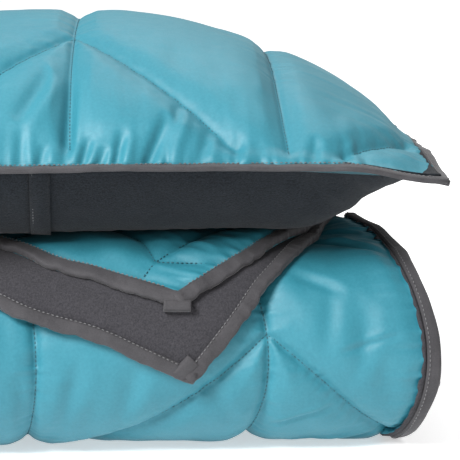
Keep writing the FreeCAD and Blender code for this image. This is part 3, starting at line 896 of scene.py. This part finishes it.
def on_stack(x, y, height):
    """Points over the stack, with the directions straight out of the cloth there."""
    points = over_stack(x, y, height)
    return points, unit(over_stack(x, y, height + 0.01) - points)


def curve_through(points, count):
    """A smooth curve through a few points (Catmull-Rom), evenly spaced, and its length."""
    p = np.array(points, float)
    p = np.vstack([2 * p[0] - p[1], p, 2 * p[-1] - p[-2]])
    fine = []
    for k in range(1, len(p) - 2):
        a, b, c, d = p[k - 1:k + 3]
        for t in np.linspace(0, 1, 40, endpoint=False):
            bend = (2 * a - 5 * b + 4 * c - d) * t ** 2 + (3 * b - a - 3 * c + d) * t ** 3
            fine.append(0.5 * (2 * b + (c - a) * t + bend))
    fine = np.array(fine + [p[-2]])
    length = walked(fine)
    return along_route(fine, length, np.linspace(0, length[-1], count)), length[-1]


# plan of the turned corners' edges in the flat cloth, from the tip back to the diagonal fold (x, y)
UPPER_LEFT = [(0.098, -0.224), (0.0255, -0.198), (-0.030, -0.171), (-0.150, -0.060), tuple(TURN_B)]
UPPER_RIGHT = [(0.098, -0.224), (0.138, -0.197), (0.170, -0.171), (0.205, -0.128), (0.239, -0.060),
               tuple(TURN_A)]
LOWER_LEFT = [(0.108, -0.289), (0.064, -0.268), (0.025, -0.250), (-0.051, -0.222), (-0.150, -0.145),
              tuple(TURN_B)]
LOWER_RIGHT = [(0.108, -0.289), (0.149, -0.238), (0.170, -0.208), (0.196, -0.172), (0.226, -0.112),
               (0.241, -0.060), tuple(TURN_A)]
# quilting seams on the upper corner, in the same plan
UPPER_SEAMS = [((0.045, -0.231), (0.0788, -0.182)), ((0.0788, -0.182), (0.1171, -0.147)),
               ((0.1171, -0.147), (0.210, -0.060)), ((0.0788, -0.182), (0.0684, -0.1515)),
               ((0.0684, -0.1515), (0.020, -0.090)), ((0.0788, -0.182), (0.152, -0.186)),
               ((-0.060, -0.150), (0.020, -0.090)), ((0.020, -0.090), (0.090, 0.030))]


def corner_net(left, right, steps):
    """Triangular net over the corner: (i, j) counts steps from the tip along the left and right edge."""
    left_curve, left_length = curve_through(left, steps + 1)
    right_curve, right_length = curve_through(right, steps + 1)
    flat, index = [], {}
    for i in range(steps + 1):
        for j in range(steps + 1 - i):
            r = i + j
            m = j / r if r else 0
            index[i, j] = len(flat)
            spot = (1 - m) * left_curve[r] + m * right_curve[r]
            flat.append((*spot, i * left_length / steps, j * right_length / steps))
    faces = []
    for i in range(steps):
        for j in range(steps - i):
            if i + j <= steps - 2:
                faces.append((index[i, j], index[i + 1, j], index[i + 1, j + 1], index[i, j + 1]))
            else:
                faces.append((index[i, j], index[i + 1, j], index[i, j + 1]))
    rim = [index[i, 0] for i in range(steps + 1)]
    rim += [index[steps - j, j] for j in range(1, steps + 1)]
    rim += [index[0, j] for j in range(steps - 1, 0, -1)]
    return np.array(flat), faces, rim


def line_distance(x, y, lines):
    """Distance to the nearest of several straight seams."""
    nearest = np.full(np.shape(x), 1.0)
    for (ax, ay), (bx, by) in lines:
        dx, dy = bx - ax, by - ay
        t = np.clip(((x - ax) * dx + (y - ay) * dy) / (dx ** 2 + dy ** 2), 0, 1)
        nearest = np.minimum(nearest, np.hypot(x - ax - t * dx, y - ay - t * dy))
    return nearest


def quilted_body(x, y, p, q):
    """Thickness of the upper corner: puffed between its seams, gathered where the tape pulls it in."""
    d = line_distance(x, y, UPPER_SEAMS)
    right_gather = 0.0050 * np.exp(-p / 0.026) * value_noise(q / 0.0060, p / 0.05, 0, 31)
    left_gather = 0.0020 * np.exp(-q / 0.012) * value_noise(p / 0.0060, q / 0.03, 0, 32)
    crumple = 0.0020 * value_noise(x / 0.024, y / 0.024, 0, 33) * smooth(0, 0.012, d)
    front = smooth(-0.05, -0.14, y)
    return 2.0 * seam_valley(d, 0.0032) + (right_gather + left_gather) * front + crumple + 0.0022


def fleece_body(x, y, p, q):
    """Thickness of the lower corner: fleece in low soft waves, pulled a little at the tape."""
    edge = np.minimum(p, q)
    waves = 0.0013 * value_noise(x / 0.05, y / 0.035, 0, 41)
    waves = waves + 0.0004 * value_noise(x / 0.006, y / 0.006, 0, 42)
    return waves + 0.0009 * np.exp(-edge / 0.014) * value_noise(p / 0.012, q / 0.012, 0, 43)


def corner_sheet(name, left, right, steps, base, body_shape, top_material, under_material):
    """One turned ply as a closed sheet: thinner at its edges, with body_shape's relief further in."""
    flat, faces, rim = corner_net(left, right, steps)
    x, y, p, q = flat.T
    edge = np.minimum(p, q)
    body = SHEET * (0.55 + 0.45 * smooth(0.0, 0.03, edge))
    body = body + body_shape(x, y, p, q) * smooth(0.004, 0.014, edge)
    top = over_stack(x, y, base + np.maximum(body, 0.0015))
    points = np.concatenate([top, over_stack(x, y, base)])
    plan = np.stack([x, y], -1)
    all_faces = sheet_faces(faces, len(flat), rim)
    piece = new_mesh(name, points, all_faces, top_material, np.concatenate([plan, plan]))
    piece.data.materials.append(under_material)
    slots = [0] * len(faces) + [1] * len(faces) + [0] * len(rim)
    piece.data.polygons.foreach_set("material_index", slots)
    return piece


def tape_route(edge, steps, inward):
    """Places along a cloth edge and the direction towards the cloth."""
    route, length = curve_through(edge, steps)
    tangent = unit(np.gradient(route, axis=0))
    return route, np.stack([-tangent[:, 1], tangent[:, 0]], -1) * inward, length


def tape_along(name, edge, inward, base, steps, width=TAPE, thickness=CORNER_TAPE_HEIGHT,
               ruffle=0.0011, seed=3):
    """Binding tape folded over a cloth edge; inward says which side of the edge the cloth lies on."""
    route, side, length = tape_route(edge, steps, inward)
    walk = np.linspace(0, length, steps)
    wave = ruffle * value_noise(walk / 0.011, 0, 0, seed)
    wave = wave + 0.6 * ruffle * value_noise(walk / 0.004, 0, 0, seed + 1)
    points = []
    for across, lift in tape_profile():
        spot = route + side * (across * width - 0.0018 + wave * (1 - across))[:, None]
        height = base - 0.0004 + lift * (thickness + 0.0008 + wave * (1.2 - across))
        points.append(over_stack(spot[:, 0], spot[:, 1], height))
    return tape_mesh(name, np.stack(points, 1), walk, width, flip=inward < 0)


def stitches_along(name, edge, inward, base):
    """Stitches on the top of a corner's tape, near its inner edge, down to the tip."""
    route, side, length = tape_route(edge, 160, inward)
    spot = route + side * (TAPE * 0.80)
    shown = (spot[:, 1] < -0.02) & (np.linspace(0, length, 160) > 0.014)
    return stitch_rows(name, [on_stack(*spot[shown].T, base + CORNER_TAPE_HEIGHT + 0.0003)])


def corner_quilting():
    """Quilting stitches on the upper corner."""
    routes = []
    for (ax, ay), (bx, by) in UPPER_SEAMS:
        x, y = np.linspace(ax, bx, 40), np.linspace(ay, by, 40)
        left = np.interp(x, *np.array(UPPER_LEFT[::-1]).T)
        right = np.interp(x, *np.array(UPPER_RIGHT).T)
        kept = (y > left + 0.014) & (y > right + 0.018)
        x, y = x[kept], y[kept]
        if len(x) > 3:
            height = HIGH_BASE + SHEET + quilted_body(x, y, 1, 1) + 0.0006
            routes.append(on_stack(x, y, height))
    return stitch_rows("upper_corner_quilting", routes, TEAL_THREAD, radius=0.0005)


def roll_line():
    """Start of the diagonal fold, its length and direction, and the direction out of the turned cloth."""
    a, b = np.array([*TURN_A, 0]), np.array([*TURN_B, 0])
    length = np.linalg.norm(b - a)
    direction = (b - a) / length
    outward = np.array([-direction[1], direction[0], 0])
    return a, length, direction, outward if outward[1] > 0 else -outward


def turned_roll():
    """The soft roll where the top run turns over along the diagonal."""
    rows, steps = 150, 26
    middle, radius = (ROLL_LOW + ROLL_TOP) / 2, (ROLL_TOP - ROLL_LOW) / 2
    a, length, direction, outward = roll_line()
    along = np.linspace(0, length, rows)
    turned = np.concatenate([np.linspace(-90, 90, steps), np.linspace(90, 270, steps)[1:-1]])
    angles = np.radians(turned)
    front = np.abs(turned) <= 90
    reach = np.where(front, 0.85 * np.cos(angles), 0.35 * np.cos(angles))
    lift = np.sin(angles)
    seam_gap = ROLL_QUILT / 2 - np.abs((along + 0.05) % ROLL_QUILT - ROLL_QUILT / 2)
    taper = 0.40 + 0.60 * smooth(0.0, 0.10, along)
    size = radius * taper + seam_valley(np.maximum(seam_gap, 0), 0.006)
    size = size[:, None] + 0.0016 * value_noise(along[:, None] / 0.03, angles[None, :] * 1.5, 0, 81)
    points = a + direction * along[:, None, None] + outward * (reach * size)[:, :, None]
    points[:, :, 2] = middle - (radius * (1 - taper))[:, None] + lift * (size - 0.0006)
    points[:, :, 2] += top_rise(points[:, :, 0], points[:, :, 1])
    flat = np.stack(np.broadcast_arrays(along[:, None], angles[None, :] * radius), -1)
    return new_mesh("turned_roll", points, tube_faces(rows, len(turned), flip=True), TEAL, flat)


def roll_tape():
    """Binding round the right end of the diagonal roll, from the lower ply over to the upper corner."""
    radius = (ROLL_TOP - ROLL_LOW) * 0.20 + 0.0012
    middle = ROLL_LOW + radius + top_rise(*TURN_A)
    a, _, direction, outward = roll_line()
    steps = 60
    angles = np.radians(np.linspace(-100, 118, steps))
    ruffle = 0.0012 * value_noise(np.arange(steps) / 3.0, 0, 0, 91)
    points = []
    for across, lift in tape_profile():
        r = radius - 0.0075 + lift * 0.0085 + ruffle * lift
        spot = a - direction * (across * TAPE - 0.004) + outward * (0.85 * r * np.cos(angles))[:, None]
        spot[:, 2] = middle + r * np.sin(angles)
        points.append(spot)
    return tape_mesh("turned_roll_tape", np.stack(points, 1), angles * radius)


# ================= the pillow =================

def pillow_outline(x, y, lean=0.0):
    """The seam's plan: sides draw in between the corners; lean slides the quilting along the front."""
    u, v = x / PILLOW_X, y / PILLOW_Y
    lean = lean * smooth(0.05, -PILLOW_Y, y) * (1 - u * u)
    return x * (1.010 - 0.014 * (1 - v * v)) + lean, y * (1.034 - 0.036 * (1 - u * u))


def pillow_gaps(x, y):
    """Flat distances to the pillow's side seams and to its front and back seams."""
    return PILLOW_X - np.abs(x), PILLOW_Y - np.abs(y)


def seam_height(x, y):
    u, v = np.abs(x) / PILLOW_X, np.abs(y) / PILLOW_Y
    return SEAM_Z + 0.0015 - 0.0125 * smooth(0.72, 1.0, u) * smooth(0.6, 1.0, v)


def face_height(x, y):
    u, v = np.clip(np.abs(x) / PILLOW_X, 0, 1), np.clip(np.abs(y) / PILLOW_Y, 0, 1)
    return seam_height(x, y) + (CROWN_Z - SEAM_Z) * ((1 - u ** 2) * (1 - v ** 2)) ** 0.7


def pillow_lines(half, cell, anchor):
    """Mesh lines across the pillow: one runs through the anchor, and the last ones lie on the seam."""
    steps = np.arange(math.ceil((-half - anchor) / cell), math.floor((half - anchor) / cell) + 1)
    lines = anchor + cell * steps
    lines = lines[np.abs(lines) < half - 0.0165]
    rim = half - np.array([0, 0.0008, 0.0030, 0.0068, 0.0122])
    return np.concatenate([-rim, lines, rim[::-1]])


# folds on the pillow's front, seen from the front: (x, z, x, z, width, depth)
PILLOW_CREASES = [
    (-0.034, 0.250, -0.033, 0.292, 0.0045, 0.0025), (-0.038, 0.296, -0.008, 0.338, 0.0070, 0.0045),
    (0.000, 0.250, 0.010, 0.330, 0.0045, 0.0040), (0.014, 0.252, 0.024, 0.285, 0.0040, 0.0040),
    (0.029, 0.250, 0.037, 0.276, 0.0040, 0.0038), (0.041, 0.250, 0.052, 0.288, 0.0045, 0.0045),
    (0.066, 0.250, 0.090, 0.302, 0.0055, 0.0055), (0.083, 0.262, 0.102, 0.312, 0.0050, 0.0035),
    (-0.020, 0.250, -0.014, 0.278, 0.0040, 0.0030), (-0.068, 0.250, -0.062, 0.300, 0.0060, 0.0035),
    (0.110, 0.255, 0.126, 0.292, 0.0050, 0.0025), (0.140, 0.252, 0.150, 0.285, 0.0050, 0.0022),
    (0.205, 0.254, 0.214, 0.285, 0.0050, 0.0022), (0.240, 0.252, 0.238, 0.280, 0.0045, 0.0018)]


def pillow_gathers(x, y, co):
    """Cloth gathered into the binding, ripples beside the long seams, and the folds of the front."""
    edge_x, edge_y = pillow_gaps(x, y)
    rise = co[:, 2] - seam_height(x, y)
    fine_x = 0.0014 * np.exp(-rise / 0.008) * value_noise(x / 0.0042, np.sign(y), 0, 101)
    long_x = 0.0024 * np.exp(-rise / 0.034) * value_noise(x / 0.0095, y / 0.08, 0, 102)
    fine_y = 0.0010 * np.exp(-rise / 0.008) * value_noise(y / 0.0042, np.sign(x), 0, 103)
    long_y = 0.0022 * np.exp(-rise / 0.034) * value_noise(y / 0.0095, x / 0.08, 0, 104)
    to_front = smooth(-0.03, 0.03, edge_x - edge_y)
    gather = (fine_x + long_x) * to_front + (fine_y + long_y) * (1 - to_front)
    gather = gather * smooth(0.0, 0.06, np.maximum(edge_x, edge_y))
    long_seam, zigzag = seam_distance(x, -y, *PILLOW_SEAMS)[1:]
    ripple = 0.0009 * np.exp(-long_seam / 0.022) * value_noise(y / 0.0050, x / 0.04, 0, 105)
    ripple = ripple * smooth(-0.17, -0.06, y)
    side = 0.0005 * np.exp(-zigzag / 0.012) * value_noise((x + y) / 0.006, (x - y) / 0.006, 0, 106)
    front = creases(co[:, 0], co[:, 2], PILLOW_CREASES) * (y < -0.1) * smooth(0.0, 0.004, rise)
    return gather + ripple + side + front


def pillow_face():
    """The quilted front of the pillow, domed over the insert and closed at the seam."""
    xs = pillow_lines(PILLOW_X, PILLOW_CELL, PILLOW_SEAM_X)
    ys = pillow_lines(PILLOW_Y, PILLOW_CELL, PILLOW_ZIGZAG_Y)
    x, y = np.meshgrid(xs, ys)
    plan_x, plan_y = pillow_outline(x, y, -0.012)
    points = np.stack([plan_x, plan_y, face_height(x, y)], -1)
    faces = grid_faces(len(ys), len(xs)) + [tuple(rim_loop(len(ys), len(xs))[::-1])]
    flat = np.stack([x, y], -1)
    piece = new_mesh("pillow_cloth", points, faces, TEAL, flat)
    x, y = x.ravel(), y.ravel()
    d = seam_distance(x, -y, *PILLOW_SEAMS)[0]
    edge = np.minimum(*pillow_gaps(x, y))
    held = np.where(d < ON_SEAM, 1.0, 1 - 0.9 * smooth(0.001, 0.010, edge))
    near = np.minimum(d, edge)
    inflate(piece, held, smooth(0.010, 0.060, near), near, slack=0.028, cap=0.0032)
    grid, flat = refine_twice(take_grid(piece, len(ys), len(xs))), refine_twice(flat)
    rows, columns = grid.shape[:2]
    faces = grid_faces(rows, columns) + [tuple(rim_loop(rows, columns)[::-1])]
    piece = new_mesh("pillow_face", grid, faces, TEAL, flat)
    x, y = flat.reshape(-1, 2).T
    d = seam_distance(x, -y, *PILLOW_SEAMS)[0]
    edge = np.minimum(*pillow_gaps(x, y))
    broad = 0.0022 * value_noise(x / 0.09, y / 0.07, 0, 107) * smooth(0, 0.04, d)
    offset = (seam_valley(d, 0.0078) - 0.0022 + broad) * smooth(0, 0.012, edge)
    push(piece, offset + pillow_gathers(x, y, grid.reshape(-1, 3)))
    on_show = (edge > 0.006).reshape(rows, columns)
    return piece, seam_stitches("pillow_quilting", piece, flat * (1, -1), *PILLOW_SEAMS, on_show)


def back_height(x, y):
    """The fleece back: pressed flat on the blanket, and rounding up to the seam."""
    dx, dy = pillow_gaps(x, y)
    fall = np.sin(math.pi / 2 * np.clip(dx / 0.115, 0, 1)) ** 1.25
    fall = fall * np.sin(math.pi / 2 * np.clip(dy / 0.075, 0, 1))
    sag = 0.017 * smooth(0.0, 0.10, y - turn_y(x)) * smooth(0.0, 0.10, dx) * smooth(0.0, 0.10, dy)
    return seam_height(x, y) - (SEAM_Z - CONTACT_Z - 0.0005) * np.clip(fall, 0, 1) ** 0.9 - sag


BACK_CREASES = [(0.235, 0.245, 0.265, 0.215, 0.007, 0.0035), (0.205, 0.250, 0.225, 0.205, 0.008, 0.0030),
                (0.150, 0.253, 0.165, 0.215, 0.009, 0.0022), (0.080, 0.253, 0.088, 0.210, 0.010, 0.0018)]


def back_panel(name, low_x, high_x, inset, thickness):
    """One panel of the fleece back, a closed sheet between two x, this far inside the outline."""
    cell = 0.0052
    xs = np.linspace(low_x, high_x, max(3, round((high_x - low_x) / cell)))
    ys = np.linspace(-PILLOW_Y, PILLOW_Y, 90)
    x, y = np.meshgrid(xs, ys)
    plan_x, plan_y = pillow_outline(x, y)
    rows, columns = len(ys), len(xs)
    co = np.stack([plan_x, plan_y, back_height(x, y)], -1).reshape(-1, 3)
    outer = grid_faces(rows, columns, flip=True)
    guide = new_mesh("guide", co, outer, FLEECE)
    normals = get_normals(guide)
    bpy.data.objects.remove(guide)
    flat_x, flat_y = x.ravel(), y.ravel()
    fuzz = 0.0006 * value_noise(flat_x / 0.007, flat_y / 0.007, 0, 111)
    waves = 0.0016 * value_noise(flat_x / 0.05, flat_y / 0.03, 0, 112)
    front = creases(co[:, 0], co[:, 2], BACK_CREASES) * (flat_y < -0.1)
    rim = np.minimum(*pillow_gaps(flat_x, flat_y))
    relief = (fuzz + waves + front) * smooth(0, 0.01, rim)
    skin = co + normals * (relief - inset)[:, None]
    inside = co + normals * (relief - inset - thickness)[:, None]
    faces = sheet_faces(outer, len(co), rim_loop(rows, columns)[::-1])
    flat = np.stack([flat_x, flat_y], -1)
    points = np.concatenate([skin, inside])
    # the back panels take the darker copy of the fleece: painted shade under the pillow
    return new_mesh(name, points, faces, FLEECE_PAINTED_SHADE, np.concatenate([flat, flat]))


def hem_stitches():
    """The stitch line that holds the hem of the envelope opening."""
    y = np.linspace(-PILLOW_Y * 0.99, PILLOW_Y * 0.99, 160)
    x = np.full_like(y, HEM_STITCH_X + 0.0025)
    plan_x, plan_y = pillow_outline(x, y)
    route = np.stack([plan_x, plan_y, back_height(x, y)], -1)
    tangent = np.gradient(route, axis=0)
    normals = unit(np.cross(tangent, [1.0, 0, 0]))
    normals *= np.where(normals[:, 2] > 0, -1, 1)[:, None]
    return stitch_rows("hem_stitches", [(route - normals * 0.0001, normals)])


def insert_cushion():
    """The stuffed insert that fills the cover."""
    count = 60
    u, v = np.meshgrid(np.linspace(-1, 1, count), np.linspace(-1, 1, count))
    inset = 0.034
    x, y = u * (PILLOW_X - inset), v * (PILLOW_Y - inset)
    plan_x, plan_y = pillow_outline(x, y)
    top = face_height(x, y) - inset * 0.9
    low = back_height(x, y) + 0.024
    low = np.minimum(low, top - 0.0005)
    points = np.concatenate([np.stack([plan_x, plan_y, z], -1).reshape(-1, 3) for z in (top, low)])
    faces = sheet_faces(grid_faces(count, count), count * count, rim_loop(count, count))
    flat = np.stack([x, y], -1).reshape(-1, 2)
    return new_mesh("insert_cushion", points, faces, TICKING, np.concatenate([flat, flat]))


def pillow_seam_route(count):
    """The seam all round, with its outward direction; count places on each side."""
    corner, t = np.divmod(np.arange(4 * count), count)
    t = 2 * t / count - 1
    one = np.ones_like(t)
    x = np.choose(corner, [t, one, -t, -one]) * PILLOW_X
    y = np.choose(corner, [-one, t, one, -t]) * PILLOW_Y
    plan_x, plan_y = pillow_outline(x, y)
    centre = np.stack([plan_x, plan_y, seam_height(x, y)], -1)
    tangent = unit(np.roll(centre, -1, 0) - np.roll(centre, 1, 0))
    return centre, unit(np.stack([tangent[:, 1], -tangent[:, 0], 0 * t], -1))


def tape_frame(out, droop=12.0):
    """Directions across and through the tape: it stands out of the seam and droops."""
    up = np.array([0, 0, 1.0])
    c, s = math.cos(math.radians(droop)), math.sin(math.radians(droop))
    return out * c - up * s, out * s + up * c


def pillow_tape():
    """Binding tape round the seam."""
    count = 150
    centre, out = pillow_seam_route(count)
    wide, thick = tape_frame(out)
    walk = walked(centre)
    ruffle = 0.0009 * value_noise(walk / 0.010, 0, 0, 121)
    wave = 0.0010 * value_noise(walk / 0.045, 0, 0, 122)
    profile = tape_profile()
    points = []
    for a, b in profile:
        across = (a * PILLOW_TAPE_WIDTH - 0.0020 + ruffle * a)[:, None]
        lift = ((b - 0.5) * PILLOW_TAPE_HEIGHT + wave + ruffle * 0.5)[:, None]
        points.append(centre + wide * across + thick * lift)
    points = np.stack(points, 1)
    rows, around = len(centre), len(profile)
    faces = []
    for i in range(rows):
        for j in range(around):
            k, nxt = (j + 1) % around, (i + 1) % rows
            faces.append((i * around + j, nxt * around + j, nxt * around + k, i * around + k))
    flat = np.stack([np.repeat(walk, around), np.tile([a * TAPE for a, b in profile], rows)], -1)
    return new_mesh("pillow_binding", points, faces, TAPE_CLOTH, flat)


def corner_tab(name, sx, sy):
    """The mitred end of the tape, folded over a corner of the pillow into a small pointed tab."""
    x, y = sx * PILLOW_X, sy * PILLOW_Y
    tip = np.array([*pillow_outline(x, y), seam_height(x, y)], float)
    way = unit(np.array([sx * 0.94, sy * 0.34, -0.22]))
    aside = unit(np.cross(way, [0, 0, 1.0]))
    up = np.cross(aside, way)
    steps = 14
    profile = tape_profile(16)
    points = []
    for k in range(steps):
        t = k / (steps - 1)
        width = TAPE * (1 - 0.45 * t) * (1 - 0.10 * math.cos(t * 9))
        thickness = 0.0062 * (1 - 0.25 * t)
        centre = tip + way * (-0.010 + 0.0175 * t) - up * 0.0012
        for a, b in profile:
            points.append(centre + aside * (a - 0.5) * width + up * (b - 0.5) * thickness)
    return new_mesh(name, points, tube_faces(steps, len(profile)), TAPE_CLOTH)


def pillow_stitches():
    """Stitches along the pillow's binding, on its upper side."""
    centre, out = pillow_seam_route(150)
    wide, thick = tape_frame(out)
    route = centre + wide * 0.0004 + thick * 0.0028
    route, thick = np.concatenate([route, route[:1]]), np.concatenate([thick, thick[:1]])
    return stitch_rows("pillow_binding_stitches", [(route, thick)])


# ================= build =================

def nodes_like(*starts):
    return [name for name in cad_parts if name.startswith(starts)]


def build_stack():
    wrap, quilting = outer_wrap()
    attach(quilting, "blanket")
    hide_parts("blanket_shell", "blanket_batting")
    folds = inner_folds()
    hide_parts("blanket_lining")
    roll = turned_roll()
    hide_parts("turned_fold_shell", "turned_fold_batting")
    for piece in (wrap, folds, roll):
        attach(piece, "blanket")
    tapes = {"side_binding_outer_ply": side_tape("side_tape_outer_ply", 1),
             "side_binding_inner_ply": side_tape("side_tape_inner_ply", -1),
             "end_binding_upper_ply": free_end_tape("end_tape_upper_ply", 1),
             "end_binding_lower_ply": free_end_tape("end_tape_lower_ply", -1),
             "turned_fold_binding": roll_tape()}
    for node, piece in tapes.items():
        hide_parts(node)
        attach(piece, "blanket")
    stitches = side_stitches()
    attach(stitches, "blanket")


def build_corner(body, left, right, base, sheet, tab, flat_size, extra=()):
    """One turned ply with its tapes, tab and stitches."""
    tapes, rows = [], []
    for side, edge, inward in (("left", left, -1), ("right", right, 1)):
        seed = len(body) + inward
        tapes.append(tape_along("%s_tape_%s" % (body, side), edge, inward, base, 190, seed=seed))
        rows.append(stitches_along("%s_stitches_%s" % (body, side), edge, inward, base))
    tab_edge, tab_width = tab
    tapes.append(tape_along(body + "_tab_0", tab_edge, 1, base - 0.0006, 16, tab_width,
                            thickness=0.0082, ruffle=0.0004))
    rows += extra
    name = body.split("_")[0]
    kinds = ("_shell", "_lining", "_batting")
    layers = [start + kind for start in (body, "turned_" + name) for kind in kinds]
    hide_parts(*nodes_like(*layers))
    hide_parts(body + "_binding_left")
    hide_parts(body + "_binding_right", "turned_%s_binding" % name)
    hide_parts(body + "_tab")
    for piece in [sheet] + tapes + rows:
        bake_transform(piece)


def build_pillow():
    face, quilting = pillow_face()
    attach(quilting, "pillow")
    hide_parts("pillow_face_shell", "pillow_face_batting")
    spans = {"back_outer_panel": (-PILLOW_X, HEM_STITCH_X, 0.0006, 0.0016),
             "back_opening_hem": (HEM_STITCH_X, HEM_X, 0.0, 0.0030),
             "back_inner_panel": (HEM_X - 0.1, PILLOW_X, 0.0030, 0.0016)}
    panels = {"pillow_" + name: back_panel(name, *span) for name, span in spans.items()}
    cushion = insert_cushion()
    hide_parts("insert_ticking", "insert_fill")
    tape = pillow_tape()
    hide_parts(*nodes_like("pillow_binding"))
    corners = ((1, -1), (1, 1), (-1, 1), (-1, -1))
    tabs = [corner_tab("pillow_tab_%d" % k, *signs) for k, signs in enumerate(corners)]
    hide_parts("pillow_corner_tabs")
    stitches = [pillow_stitches(), hem_stitches()]
    for node, panel in panels.items():
        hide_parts(node)
    for piece in [face, cushion, tape] + list(panels.values()) + tabs + stitches:
        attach(piece, "pillow")


# ================= studio =================

def aim(lamp, target):
    """Turns a lamp, which shines along its own -Z, towards a point."""
    way = np.array(target) - np.array(lamp.location)
    flat = math.hypot(way[0], way[1])
    lamp.rotation_euler = (math.atan2(flat, -way[2]), 0, math.atan2(way[1], way[0]) - math.pi / 2)


def studio():
    scene = bpy.context.scene
    scene.view_settings.view_transform = "Standard"
    world = bpy.data.worlds.new("studio")
    scene.world = world
    world.use_nodes = True
    set_inputs(world.node_tree.nodes["Background"], Color=(1, 1, 1, 1), Strength=0.56)
    size = 12
    corners = [(-size, -size, 0), (size, -size, 0), (size, size, 0), (-size, size, 0)]
    floor = new_mesh("floor", corners, [(0, 1, 2, 3)], floor_white())
    for spot, width, power in (((-1.55, -1.75, 2.15), 1.1, 172), ((0.4, 1.2, 2.2), 1.2, 20)):
        light = bpy.data.lights.new("softbox", "AREA")
        light.size = width
        light.energy = power
        lamp = bpy.data.objects.new("softbox", light)
        scene.collection.objects.link(lamp)
        lamp.location = spot
        aim(lamp, (0, 0, 0.18))


def camera():
    data = bpy.data.cameras.new("camera")
    eye = bpy.data.objects.new("camera", data)
    bpy.context.scene.collection.objects.link(eye)
    distance, elevation = 2.02, math.radians(9.0)
    aim_height = 0.19
    down, turn = math.radians(9.64), math.radians(4.5)
    data.lens = 169.0
    data.sensor_width = 36
    data.clip_end = 50
    eye.location = (0, -distance * math.cos(elevation), aim_height + distance * math.sin(elevation))
    eye.rotation_euler = (math.pi / 2 - down, 0, -turn)
    bpy.context.scene.camera = eye


build_stack()
upper_edges = (UPPER_LEFT, UPPER_RIGHT)
lower_edges = (LOWER_LEFT, LOWER_RIGHT)
upper_tab = ([(0.084, -0.2265), (0.107, -0.2275)], 0.0085)
lower_tab = ([(0.099, -0.286), (0.112, -0.272)], 0.0130)
upper_sheet = corner_sheet("upper_corner_sheet", *upper_edges, 150, HIGH_BASE, quilted_body, TEAL, FLEECE)
build_corner("upper_corner", *upper_edges, HIGH_BASE, upper_sheet, upper_tab, (0.62, 0.31),
             [corner_quilting()])
lower_sheet = corner_sheet("lower_corner_sheet", *lower_edges, 120, LOW_BASE, fleece_body, FLEECE, TEAL)
build_corner("lower_corner", *lower_edges, LOW_BASE, lower_sheet, lower_tab, (0.66, 0.36))
build_pillow()
studio()
camera()
